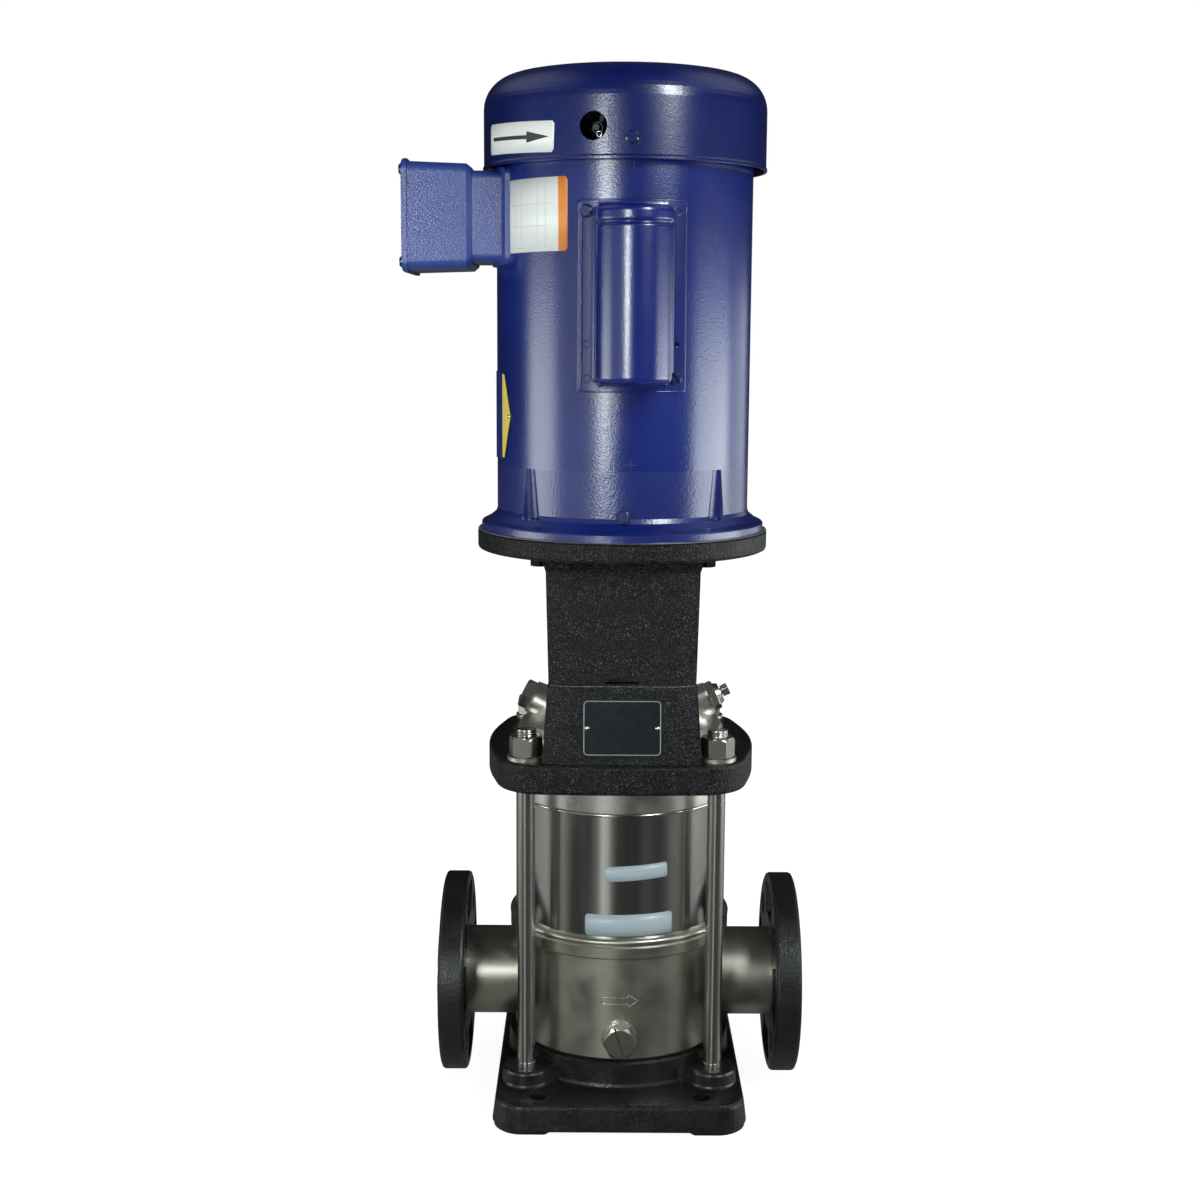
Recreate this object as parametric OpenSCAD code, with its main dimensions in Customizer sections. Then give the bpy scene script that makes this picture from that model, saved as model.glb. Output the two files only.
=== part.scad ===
// Vertical multistage booster pump with a close-coupled capacitor-start motor.
// Origin: centre of the base plate, level with the floor. +X is the outlet side, -Y is the front.

/* [Base plate] */
// Width of the base plate, along the pipe
base_w = 199; // [190:1:220]
// Depth of the base plate, across the pipe
base_d = 248; // [240:1:270]
// Height of the base plate's top face above the floor
base_top = 25; // [22:0.5:30]
// Corner radius of the base plate
base_corner_r = 22; // [16:1:30]
// How much wider the skirt is at its foot than at its top, each side
base_draft = 2; // [0.5:0.5:3]
// Height of the four corner pads under the skirt
foot_h = 3; // [2:0.5:5]
// Side of each square corner pad
foot_pad = 46; // [43:1:52]
// Diameter of the foundation bolt holes
foot_hole_d = 14; // [11:0.5:15]
// Distance from a foundation hole to the side edge of the base plate
foot_edge_x = 34.5; // [32:0.5:37]
// Distance from a foundation hole to the front or back edge of the base plate
foot_edge_y = 16.5; // [14:0.5:19]
// Radius of the round hub that seats the chamber
hub_r = 92.5; // [91:0.5:94]
// Height of the hub's top above the floor
hub_top = 46; // [42:0.5:50]
// Radius of the four stay bolt bosses
boss_r = 19; // [16:0.5:21]
// Height of the stay bolt bosses above the floor
boss_top = 38; // [34:0.5:40]
// Radius of the lightening pocket under the base
pocket_r = 62; // [50:1:68]
// Depth of the lightening pocket above the skirt's lower edge
pocket_h = 11; // [6:0.5:14]

/* [Ports and flanges] */
// Height of the port centre line above the floor
port_z = 90; // [88:0.5:94]
// Distance between the two port faces
face_to_face = 300; // [290:1:320]
// Outer radius of the pipe stubs
stub_r = 36.5; // [34:0.25:37.5]
// Wall of the pipe stubs
stub_wall = 3.5; // [3:0.25:4.5]
// Radius of the bore at each port face
port_r = 26; // [24:0.5:28]
// Length of the straight bore behind each port face
port_len = 12; // [10:0.5:14]
// Length of the taper from the bore to the stub's full width
port_taper = 20; // [14:1:24]
// Radius of the raised sealing collar
raised_r = 50.5; // [48:0.5:51]
// Thickness of the raised sealing collar
raised_t = 3; // [2.5:0.25:5]
// Outer radius of the loose flanges
flange_r = 82.5; // [80:0.5:86]
// Thickness of the loose flanges
flange_t = 20.5; // [18:0.5:24]
// Bolt circle diameter of the loose flanges
flange_pcd = 125; // [122:0.5:128]
// Diameter of the flange bolt holes
flange_hole_d = 18; // [16:0.5:19]
// Number of bolt holes in a flange
flange_holes = 4; // [4:4:8]
// Gap between a loose flange and its stub
flange_play = 0.35; // [0.25:0.05:0.6]
// Edge rounding of the flanges
flange_round = 2.5; // [1:0.5:4]
// Depth of the cored pocket in a flange's back
flange_core = 4; // [2:0.5:6]

/* [Chamber and sleeve] */
// Outer radius of the chamber body
chamber_r = 87.5; // [86.5:0.25:88.5]
// Wall of the chamber body
chamber_wall = 3.5; // [3:0.25:4]
// Height of the chamber, from its seat to the top of its collar
chamber_h = 103; // [101:0.5:105]
// Outer radius of the collar that holds the sleeve
collar_r = 91.5; // [91:0.25:92.5]
// Height of the collar
collar_h = 17; // [15:0.5:19]
// Outer radius of the inner cup that separates inlet from outlet
cup_r = 60; // [57:0.5:62]
// Wall of the inner cup
cup_wall = 3; // [2.5:0.25:4]
// Height of the inner cup's rim above the chamber's seat
cup_h = 86; // [84:0.5:88]
// Outer radius of the sleeve
sleeve_r = 87; // [86.5:0.1:87.4]
// Wall of the sleeve
sleeve_wall = 2; // [1.5:0.1:2.2]
// Depth of the sleeve inside the chamber's collar
sleeve_seat = 13; // [10:0.5:14]
// Length of the sleeve
sleeve_len = 115; // [112:0.5:120]
// Thickness of the bead rolled near the sleeve's top
sleeve_bead = 1.4; // [0.8:0.1:2]
// Radius of the O-ring section at each end of the sleeve
oring_r = 1.2; // [1:0.05:1.25]

/* [Plugs] */
// Width across flats of the drain plug
drain_af = 24; // [20:0.5:27]
// Height of the drain plug's centre above the floor
drain_z = 65.5; // [64:0.5:70]
// Thread radius of the drain plug
drain_thread_r = 10.3; // [9:0.1:11]
// Height of every plug's hexagon
plug_head_h = 8; // [6:0.5:9]
// Thickness of the sealing rings under the plugs
plug_seal_t = 2; // [1.5:0.1:2.5]
// Width across flats of the fill and vent plugs
plug_af = 22; // [19:0.5:23]
// Thread radius of the fill and vent plugs
plug_thread_r = 8.3; // [7.5:0.1:9]
// Length of thread below the sealing ring
plug_thread_len = 13; // [10:0.5:15]
// Angle of the fill and vent plugs above level
plug_tilt = 26.5; // [24:0.5:29]
// Width across flats of the vent stem's square head
stem_af = 7.5; // [6:0.25:8]
// Radius of the vent stem
stem_r = 2.9; // [2.5:0.05:3.1]
// Length of the vent stem that stands out of its plug
stem_out = 7; // [6:0.25:9]

/* [Pump head] */
// Radius of the head's skirt above the sleeve
head_skirt_r = 89.5; // [89:0.1:90.5]
// Height of the head's skirt
head_skirt_h = 18; // [16:0.5:20]
// Radius of the dome where it passes the stool's plate
dome_r = 85.2; // [84.5:0.1:86]
// Height of the dome from the skirt's shoulder to its flat top
dome_h = 66; // [64:0.5:69]
// Radius of the dome's flat top
dome_top_r = 41; // [40:0.5:43]
// Radius of the seal chamber's mouth
seal_mouth_r = 26; // [24:0.5:27]

/* [Stay bolts] */
// Distance between stay bolts, both ways
stay_pitch = 151; // [149:0.5:154]
// Shank diameter of the stay bolts
stay_d = 14.2; // [12:0.1:15]
// Thread diameter of the stay bolts
stay_thread_d = 15.7; // [14:0.1:16]
// Stay bolt length above its nut
stay_stand = 5; // [3:0.5:12]
// Outer diameter of the stay bolt washers
stay_washer_d = 30; // [28:0.5:31]
// Thickness of the stay bolt washers
stay_washer_t = 3; // [2:0.25:4]
// Width across flats of the stay nuts
stay_nut_af = 24; // [22:0.5:25]
// Height of the stay nuts
stay_nut_h = 16; // [11:0.5:17]

/* [Motor stool] */
// Thickness of the stool's bottom plate
stool_plate_t = 24; // [22:0.5:28]
// Half width of the stool's bottom plate
stool_half_w = 109; // [107:0.5:114]
// Half depth of the stool's bottom plate
stool_half_d = 100.5; // [99:0.5:104]
// Total height of the stool
stool_h = 200; // [194:1:215]
// How far the stool's top flange stands out beyond the motor's face
stool_flange_rim = 3.2; // [1.5:0.1:6]
// Thickness of the stool's top flange
stool_flange_t = 16; // [12:0.5:18]
// Half width of the neck at its waist
neck_half_w = 57.75; // [57:0.25:63]
// Half depth of the neck at its waist
neck_half_d = 89; // [88:0.5:91]
// Height of the waist line above the bottom plate
waist_h = 61.5; // [57:0.5:64]
// Half width of the flat part of the neck's front
neck_flat = 42; // [36:1:48]
// How far the neck's outer facets fall back
neck_facet = 5; // [3:0.5:7]
// Half depth of the side windows
window_half_d = 70; // [66:0.5:72]
// Thickness of the two webs at their middle
web_t = 10; // [8:0.5:12]

/* [Guards and plates] */
// Thickness of the coupling guard's sheet
guard_t = 1.5; // [1:0.1:2]
// Number of slots in a coupling guard
guard_slots = 7; // [5:1:8]
// Width of the stool's nameplate
plate_w = 63; // [56:1:68]
// Height of the stool's nameplate
plate_h = 45.5; // [38:0.5:46]
// Thickness of the stool's nameplate
plate_t = 0.8; // [0.5:0.1:1.2]

/* [Hydraulic stack] */
// Number of stages
stages = 3; // [2:1:3]
// Height of one stage
stage_h = 42; // [42:0.5:43]
// Outer radius of the stage bowls
bowl_r = 76; // [74:0.25:76.5]
// Wall of the stage bowls
bowl_wall = 2.5; // [2:0.25:3]
// Outer radius of the impellers
impeller_r = 58; // [54:0.5:60]
// Number of vanes in an impeller
impeller_vanes = 6; // [5:1:7]
// Thickness of the impeller vanes
vane_t = 2; // [1.5:0.1:2.5]
// Number of guide vanes in a bowl
guide_vanes = 8; // [6:1:10]
// Inner radius of the impeller's eye
eye_r = 27; // [25:0.5:28]
// Radius of the pump shaft
pump_shaft_r = 10; // [9:0.1:10.5]
// Radius of the impeller spacers
spacer_r = 12.5; // [12:0.1:13]
// Radial running gap of the shaft bearings
bearing_gap = 0.06; // [0.03:0.01:0.09]

/* [Coupling] */
// Radius of the split coupling
coupling_r = 32; // [29:0.5:34]
// Length of the split coupling
coupling_len = 94; // [88:1:98]
// Gap between the two coupling halves
coupling_gap = 1; // [0.5:0.1:2]
// Radius of the coupling pin
coupling_pin_r = 2.5; // [2:0.1:3]

/* [Motor] */
// Outer radius of the motor frame
frame_r = 101.6; // [101:0.1:102.4]
// How far the motor's mounting face stands out beyond its frame
face_rim = 12.7; // [11:0.1:14]
// How far the mounting bolts' circle lies inside the motor frame
face_bolts_in = 9.525; // [9:0.025:10]
// How far the circle of the motor's long bolts lies inside the motor frame
through_in = 9.1; // [8.8:0.1:9.6]
// Wall of the motor frame
frame_wall = 3; // [2.5:0.25:3.5]
// Height of the drive end shield
shield_h = 52.7; // [50:0.5:56]
// Length of the motor frame
frame_len = 233; // [229:1:242]
// How far the fan cover stands out beyond the motor frame
cover_rim = 9.9; // [9.4:0.1:12]
// Height of the fan cover
cover_h = 74.5; // [73:0.5:90]
// Shoulder radius of the fan cover
cover_shoulder = 26; // [24:1:36]
// Sheet thickness of the fan cover
cover_t = 1.6; // [1.2:0.1:2]
// How far the fan cover laps over the frame
cover_lap = 3.2; // [2:0.2:6]
// Width of the slots in the air inlet
grille_slot_w = 4.5; // [3:0.25:5]
// Slots in the inner ring of the air inlet; the outer ring has twice as many
grille_slots = 12; // [8:1:14]
// Radius of the motor shaft at the coupling
motor_shaft_r = 14.28; // [13.5:0.1:14.5]
// Length of the motor shaft below the mounting face
shaft_out = 67; // [64:0.5:70]
// Outer radius of the rotor core
rotor_r = 51; // [48:0.5:53]
// Air gap between rotor and stator
air_gap = 0.5; // [0.3:0.05:0.8]
// Length of the rotor and stator cores
core_len = 110; // [100:1:116]
// Height of the cores above the frame's lower end
core_up = 40; // [36:1:44]
// How far the cooling fan ends inside the motor frame
fan_in = 17.6; // [17:0.2:26]
// Height of the fan's plate above the motor frame
fan_up = 20; // [19.5:0.5:22]
// Height of the shaft's end above the motor frame
shaft_up = 44; // [43:0.5:46]
// Number of fan blades
fan_blades = 7; // [5:1:9]
// Radius of the grease hole in the fan cover
grease_hole_r = 10.3; // [9:0.1:11]
// Travel of the switch collar on the shaft
switch_travel = 4; // [3:0.25:5]

/* [Motor boxes] */
// Depth of the conduit box, away from the motor
box_len = 49.5; // [46:0.5:56]
// Width of the conduit box
box_w = 98; // [92:1:104]
// Height of the conduit box
box_h = 82; // [78:1:86]
// Wall of the conduit box
box_wall = 3; // [2.5:0.25:4]
// Height of the conduit box's centre above the frame's lower end
box_up = 192.6; // [188:0.5:193]
// Width of the conduit box's neck
box_neck_w = 88; // [80:1:90]
// Height of the conduit box's neck
box_neck_h = 69; // [64:1:72]
// Distance from the motor frame to the conduit box
box_stand = 16.9; // [14:0.1:22]
// Thickness of the conduit box's cover
lid_t = 4.5; // [4:0.5:6]
// Radius of the conduit entry
entry_r = 14; // [11:0.25:15]
// Width of the capacitor cover's dome
cap_w = 57; // [54:0.5:60]
// Height of the capacitor cover's dome
cap_h = 129; // [122:1:134]
// How far the dome's crown stands out from the motor frame
cap_stand = 39.9; // [39.5:0.1:44]
// Sideways place of the capacitor cover's centre
cap_x = 5; // [3:0.5:6]
// Height of the capacitor cover's centre above the frame's lower end
cap_up = 131.5; // [128:0.5:134]
// Sheet thickness of the capacitor cover
cap_t = 1.4; // [1:0.1:1.8]
// Radius of the start capacitor
capacitor_r = 18; // [17:0.25:18.5]

/* [Hidden] */
$fn = 64;

// Heights, built up from the floor.
chamber_top = hub_top + chamber_h;
collar_z = chamber_top - collar_h;
cup_top = hub_top + cup_h;
sleeve_z = chamber_top - sleeve_seat;
sleeve_top = sleeve_z + sleeve_len;
stool_z = sleeve_top + head_skirt_h;
dome_top = stool_z + dome_h;
plate_top = stool_z + stool_plate_t;
waist_z = plate_top + waist_h;
stool_top = stool_z + stool_h;
flange_under = stool_top - stool_flange_t;
seam_z = stool_top + shield_h;
frame_top = seam_z + frame_len;
cover_z = frame_top - cover_lap;
cover_top = cover_z + cover_h;

// Places shared by several pieces.
half_face = face_to_face / 2;
foot_half_x = base_w / 2 - foot_edge_x;
foot_half_y = base_d / 2 - foot_edge_y;
stay_half = stay_pitch / 2;
face_r = frame_r + face_rim;
face_bolt_r = frame_r - face_bolts_in;
bolt_half = face_bolt_r * cos(45);
stool_flange_r = face_r + stool_flange_rim;
through_r = frame_r - through_in;
cover_r = frame_r + cover_rim;
fan_r = frame_r - fan_in;
box_reach = frame_r + box_stand;
cap_reach = frame_r + cap_stand;
slice = 0.1;
fit = 0.05;
over = 1;
plug_reach = 82.5;
plug_axis_z = stool_z + 21.5;
boss_face = plug_reach - plug_seal_t;
window_top = flange_under - 19;
guard_z0 = waist_z - 4;
guard_z1 = window_top - 2;
guard_x = neck_half_w - 3.2;
guard_land = 9;
stack_z = cup_top + 6;
stack_top = stack_z + stages * stage_h;
coupling_z = dome_top + 17;
coupling_top = coupling_z + coupling_len;
shaft_end = stool_top - shaft_out;
core_z = seam_z + core_up;
core_top = core_z + core_len;
box_z = seam_z + box_up;
box_x = -(box_reach + box_len);
cap_z = seam_z + cap_up;
screw_z = cover_z + 15;
cover_angles = [-88.2, 31.8, 151.8];
grease_z = cover_z + 23.2;
grease_angle = -102.9;
drive_bearing_z = stool_top + 11;
fan_bearing_z = frame_top - 18;
bearing_w = 16;
bearing_r = 31;

// General shapes.
module ring(outer, inner, h) {
    difference() {
        cylinder(r = outer, h = h);
        translate([0, 0, -over]) cylinder(r = inner, h = h + 2 * over);
    }
}

module at_corners(x, y) {
    for (sx = [-1, 1], sy = [-1, 1]) translate([sx * x, sy * y, 0]) children();
}

module round_rect(w, d, r) {
    square([w - 2 * r, d], center = true);
    square([w, d - 2 * r], center = true);
    for (sx = [-1, 1], sy = [-1, 1]) translate([sx * (w / 2 - r), sy * (d / 2 - r)]) circle(r);
}

module hexagon(af, h) {
    cylinder(r = af / 2 / cos(30), h = h, $fn = 6);
}

// Hexagon whose outer edge is turned to a slight cone.
module turned_hexagon(af, h) {
    intersection() {
        hexagon(af, h);
        rotate_extrude() polygon([[0, 0], [af * 0.58, 0], [af * 0.58, h - af * 0.05],
            [af * 0.475, h], [0, h]]);
    }
}

// Slotted round head, seated at z = 0.
module slotted_head(r, h, turn) {
    difference() {
        rotate_extrude() polygon([[0, 0], [r, 0], [r, h * 0.5], [r * 0.75, h], [0, h]]);
        rotate([0, 0, turn]) translate([-r - over, -r * 0.13, h * 0.45]) cube([2 * r + 2 * over, r * 0.26, h]);
    }
}

module dome_rivet(r) {
    intersection() {
        translate([0, 0, -r * 0.35]) sphere(r * 1.1);
        cylinder(r = r * 1.2, h = r);
    }
}

// Turns +Z into a direction level with the floor, at an angle round the motor.
module facing(angle) {
    rotate([0, 0, angle]) rotate([0, 90, 0]) children();
}

// Base plate
module base_outline(inset) {
    round_rect(base_w - 2 * inset, base_d - 2 * inset, base_corner_r - inset);
}

module base_skirt() {
    edge_r = 4;
    hull() {
        translate([0, 0, foot_h]) linear_extrude(0.5) base_outline(1 - base_draft, $fn = 32);
        translate([0, 0, foot_h + 2]) linear_extrude(0.5) base_outline(-base_draft, $fn = 32);
        for (a = [0 : 30 : 90])
            translate([0, 0, base_top - 0.1 - edge_r * (1 - sin(a))])
                linear_extrude(0.1) base_outline(edge_r * (1 - cos(a)), $fn = 32);
    }
}

module foot_pads() {
    edge_x = base_w / 2 + base_draft - 1;
    edge_y = base_d / 2 + base_draft - 1;
    intersection() {
        union() {
            linear_extrude(2) base_outline(3 - base_draft);
            translate([0, 0, 1.2]) linear_extrude(foot_h + 0.8) base_outline(1.3 - base_draft);
        }
        at_corners(edge_x - foot_pad / 2, edge_y - foot_pad / 2)
            linear_extrude(foot_h + 2) round_rect(foot_pad, foot_pad, foot_pad / 4);
    }
}

// Web between a boss and the hub, flared where it meets the hub.
module boss_web(r) {
    c = stay_half / cos(45);
    polygon([[hub_r - 20, -r - 9], [hub_r - 4, -r - 7.4], [hub_r - 2.5, -r - 3.4], [hub_r + 1, -r - 0.8],
        [hub_r + 5, -r + 0.05], [c, -r + 0.05], [c, r - 0.05], [hub_r + 5, r - 0.05], [hub_r + 1, r + 0.8],
        [hub_r - 2.5, r + 3.4], [hub_r - 4, r + 7.4], [hub_r - 20, r + 9]]);
}

module stay_bosses() {
    for (a = [45 : 90 : 315]) rotate([0, 0, a]) {
        translate([stay_half / cos(45), 0, 0]) rotate_extrude() polygon([[0, base_top - 3], [boss_r + 3, base_top - 3],
            [boss_r + 3, base_top - 0.6], [boss_r + 0.9, base_top + 0.9], [boss_r + 0.3, base_top + 2.6],
            [boss_r, boss_top - 2.6], [boss_r - 0.8, boss_top - 0.8], [boss_r - 2.6, boss_top], [0, boss_top]]);
        translate([0, 0, base_top - 2.9]) linear_extrude(boss_top - base_top + 0.4) boss_web(boss_r);
        translate([0, 0, base_top]) linear_extrude(boss_top - base_top - 0.8) boss_web(boss_r - 0.8);
        translate([0, 0, base_top]) linear_extrude(boss_top - base_top + 0.01) boss_web(boss_r - 2.6);
    }
}

module base_plate() color([0.10, 0.10, 0.11]) {
    difference() {
        union() {
            base_skirt();
            foot_pads();
            rotate_extrude($fn = 96) polygon([[0, base_top - 3], [hub_r + 4, base_top - 3], [hub_r + 4, base_top - 0.6],
                [hub_r + 1.2, base_top + 1], [hub_r + 0.4, base_top + 3.5], [hub_r, hub_top - 1.2],
                [hub_r - 1.2, hub_top], [0, hub_top]]);
            stay_bosses();
        }
        at_corners(foot_half_x, foot_half_y)
            translate([0, 0, -over]) cylinder(d = foot_hole_d, h = base_top + 2 * over);
        at_corners(stay_half, stay_half)
            translate([0, 0, foot_h + 5]) cylinder(d = stay_thread_d + 2 * fit, h = boss_top);
        translate([0, 0, foot_h - over]) cylinder(r = pocket_r, h = pocket_h + over);
        translate([0, 0, hub_top - 6]) cylinder(r = hub_r - 12, h = 7);
    }
}

// Chamber
module along_port(side, x0) {
    translate([side * x0, 0, port_z]) rotate([0, side * 90, 0]) children();
}

module port_passage(side, inner_x) {
    along_port(side, half_face - port_len) cylinder(r = port_r, h = port_len + over);
    along_port(side, half_face - port_len - port_taper)
        cylinder(r1 = stub_r - stub_wall, r2 = port_r, h = port_taper + 0.01);
    along_port(side, inner_x) cylinder(r = stub_r - stub_wall, h = half_face - port_len - port_taper - inner_x + 0.01);
}

module chamber_shell() {
    lip = 3;
    difference() {
        rotate_extrude() translate([collar_r - lip + 0.4, chamber_top - lip]) circle(lip, $fn = 32);
        translate([0, 0, chamber_top - 3 * lip]) cylinder(r = collar_r - lip, h = 4 * lip);
    }
    rotate_extrude() polygon([[0, hub_top], [chamber_r - 2, hub_top], [chamber_r, hub_top + 2],
        [chamber_r, collar_z], [collar_r - 1, collar_z + 0.4], [collar_r, collar_z + 1.6],
        [collar_r, chamber_top - 2 * lip - 1.2], [collar_r - 1, chamber_top - 2 * lip], [collar_r - 1, chamber_top - lip],
        [collar_r - lip + 0.5, chamber_top - 0.01],
        [sleeve_r + fit, chamber_top - 0.01], [sleeve_r + fit, sleeve_z], [chamber_r - chamber_wall - 2, sleeve_z],
        [chamber_r - chamber_wall - 2, collar_z - 2], [chamber_r - chamber_wall, collar_z - 6],
        [chamber_r - chamber_wall, hub_top + chamber_wall], [0, hub_top + chamber_wall]]);
}

module base_chamber() color([0.60, 0.58, 0.54]) {
    drain_face = chamber_r + 2;
    difference() {
        union() {
            difference() {
                union() {
                    chamber_shell();
                    for (side = [-1, 1]) {
                        along_port(side, chamber_r - 8) cylinder(r = stub_r, h = half_face - chamber_r + 8);
                        along_port(side, half_face - raised_t) cylinder(r = raised_r, h = raised_t);
                    }
                    translate([0, -chamber_r + 6, drain_z]) rotate([90, 0, 0])
                        cylinder(r = drain_af * 0.6, h = drain_face - chamber_r + 6);
                }
                port_passage(1, chamber_r - chamber_wall - 12);
                translate([0, 0, hub_top + chamber_wall])
                    cylinder(r = chamber_r - chamber_wall, h = collar_z - 6 - hub_top - chamber_wall);
            }
            translate([0, 0, hub_top + chamber_wall - 0.5]) ring(cup_r, cup_r - cup_wall, cup_h - chamber_wall + 0.5);
            along_port(-1, cup_r - cup_wall) cylinder(r = stub_r, h = chamber_r - cup_r + cup_wall - 1);
        }
        port_passage(-1, cup_r - cup_wall - 10);
        translate([0, -chamber_r, drain_z]) rotate([90, 0, 0])
            translate([0, 0, -10]) cylinder(r = drain_thread_r + fit, h = 20);
        translate([0, 0, sleeve_z + 5 - oring_r])
            cylinder(r = sleeve_r + 2 * oring_r + fit, h = 2 * oring_r);
    }
}

module drain_plug() color([0.68, 0.67, 0.64]) {
    seat_y = chamber_r + 2 + plug_seal_t;
    translate([0, -seat_y, drain_z]) rotate([90, 0, 0]) difference() {
        union() {
            turned_hexagon(drain_af, plug_head_h);
            translate([0, 0, -plug_thread_len]) cylinder(r = drain_thread_r, h = plug_thread_len + 0.5);
        }
        rotate([0, 0, 18.7]) translate([-0.65, -drain_af, plug_head_h - 1.3]) cube([1.3, 2 * drain_af, 3]);
    }
}

module plug_seals() color([0.55, 0.55, 0.55]) {
    translate([0, -chamber_r - 2, drain_z]) rotate([90, 0, 0])
        ring(drain_af * 0.55, drain_thread_r + 0.1, plug_seal_t);
    for (side = [-1, 1]) on_boss(side, boss_face) ring(plug_af * 0.62, plug_thread_r + 0.1, plug_seal_t);
}

// Loose flanges, free to turn on the pipe stubs behind the raised collars.
module loose_flange(side) {
    r = flange_round;
    along_port(side, half_face - raised_t - flange_t) difference() {
        rotate_extrude() polygon([[stub_r + flange_play, 0], [flange_r - r, 0], [flange_r - r * 0.3, r * 0.3],
            [flange_r, r], [flange_r, flange_t - r], [flange_r - r * 0.3, flange_t - r * 0.3],
            [flange_r - r, flange_t], [stub_r + flange_play, flange_t]]);
        for (i = [0 : flange_holes - 1]) rotate([0, 0, 360 / flange_holes * (i + 0.5)])
            translate([flange_pcd / 2, 0, -over]) cylinder(d = flange_hole_d, h = flange_t + 2 * over);
        for (i = [0 : flange_holes - 1]) rotate([0, 0, 360 / flange_holes * i - 22])
            translate([0, 0, -over]) rotate_extrude(angle = 44)
                translate([stub_r + 12, 0]) square([flange_r - stub_r - 20, flange_core + over]);
    }
}

module suction_flange() color([0.11, 0.11, 0.12]) loose_flange(-1);

module discharge_flange() color([0.11, 0.11, 0.12]) loose_flange(1);

module outer_sleeve() color([0.72, 0.72, 0.72]) {
    translate([0, 0, sleeve_z]) ring(sleeve_r, sleeve_r - sleeve_wall, sleeve_len);
    translate([0, 0, sleeve_top - 2 * sleeve_bead]) difference() {
        rotate_extrude() translate([sleeve_r - 0.5, sleeve_bead]) circle(sleeve_bead, $fn = 24);
        translate([0, 0, -over]) cylinder(r = sleeve_r - sleeve_wall / 2, h = 4 * sleeve_bead + over);
    }
}

module o_ring(mid_r, section_r) {
    rotate_extrude() translate([mid_r, 0]) circle(section_r, $fn = 24);
}

module sleeve_seals() color([0.08, 0.08, 0.08]) {
    translate([0, 0, sleeve_z + 5]) o_ring(sleeve_r + oring_r + fit, oring_r - 0.02);
    translate([0, 0, sleeve_top - 8]) o_ring(sleeve_r - sleeve_wall - oring_r - fit, oring_r - 0.02);
}

// Pump head
module on_boss(side, along) {
    translate([0, 0, plug_axis_z]) rotate([0, side * (90 - plug_tilt), 0]) translate([0, 0, along]) children();
}

module head_form() {
    spigot_r = sleeve_r - sleeve_wall - fit;
    rotate_extrude() polygon([[0, sleeve_top - 14], [spigot_r, sleeve_top - 14],
        [spigot_r, sleeve_top - 8 - oring_r], [spigot_r - 2 * oring_r, sleeve_top - 8 - oring_r],
        [spigot_r - 2 * oring_r, sleeve_top - 8 + oring_r], [spigot_r, sleeve_top - 8 + oring_r],
        [spigot_r, sleeve_top], [head_skirt_r - 1, sleeve_top], [head_skirt_r, sleeve_top + 1],
        [head_skirt_r, stool_z], [dome_r, stool_z], [dome_r, dome_top - 35], [dome_r - 0.6, dome_top - 31.5],
        [dome_r - 2.2, dome_top - 28], [dome_r - 5.2, dome_top - 25], [62, dome_top - 14],
        [dome_top_r + 5, dome_top - 5.5], [dome_top_r + 1, dome_top - 1], [dome_top_r, dome_top], [0, dome_top]]);
}

module head_cavity() {
    top = dome_top;
    rotate_extrude() polygon([[0, sleeve_top - 15], [78, sleeve_top - 15], [78, stool_z - 2],
        [dome_r - 6, stool_z + 6], [dome_r - 6, top - 38], [dome_r - 10.5, top - 32], [58, top - 21.5],
        [42, top - 14], [seal_mouth_r, top - 13], [seal_mouth_r, top + over], [0, top + over]]);
}

module pump_head() color([0.74, 0.73, 0.70]) {
    lug_z = stack_top + 6;
    difference() {
        union() {
            difference() {
                union() {
                    head_form();
                    for (side = [-1, 1]) on_boss(side, 52)
                        cylinder(r1 = plug_af * 0.74, r2 = plug_af * 0.63, h = boss_face - 52);
                }
                head_cavity();
            }
            for (a = [0 : 60 : 300]) rotate([0, 0, a])
                translate([bowl_r - 8, -5, lug_z]) cube([dome_r - 4 - bowl_r + 8, 10, 14]);
        }
        for (side = [-1, 1]) on_boss(side, 44) cylinder(r = plug_thread_r + fit, h = boss_face - 44 + over);
        for (a = [45 : 90 : 315]) rotate([0, 0, a]) translate([seal_screw_pitch, 0, dome_top - 9]) cylinder(r = 2.5, h = 10);
    }
}
seal_screw_pitch = 33;

module fill_plug() color([0.74, 0.73, 0.70]) {
    on_boss(-1, plug_reach) {
        rotate([0, 0, 30]) turned_hexagon(plug_af, plug_head_h);
        translate([0, 0, -plug_thread_len]) cylinder(r = plug_thread_r, h = plug_thread_len + 0.5);
    }
}

ring_room_r = stem_r + 1.6;
ring_z = 2;
module vent_plug() color([0.74, 0.73, 0.70]) {
    hub_h = 4;
    on_boss(1, plug_reach) difference() {
        union() {
            turned_hexagon(plug_af, plug_head_h - 1.5);
            translate([0, 0, plug_head_h - 2]) cylinder(r1 = plug_af * 0.44, r2 = plug_af * 0.36, h = hub_h);
            translate([0, 0, -plug_thread_len]) cylinder(r = plug_thread_r, h = plug_thread_len + 0.5);
        }
        translate([0, 0, -plug_thread_len - over]) cylinder(r = stem_r + fit, h = plug_thread_len + 20);
        translate([0, 0, ring_z - 1.5]) cylinder(r = ring_room_r, h = 7);
        rotate([0, 0, 90]) translate([0, 0, 3.2]) rotate([0, 90, 0]) cylinder(r = 1.2, h = plug_af);
    }
}

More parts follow.
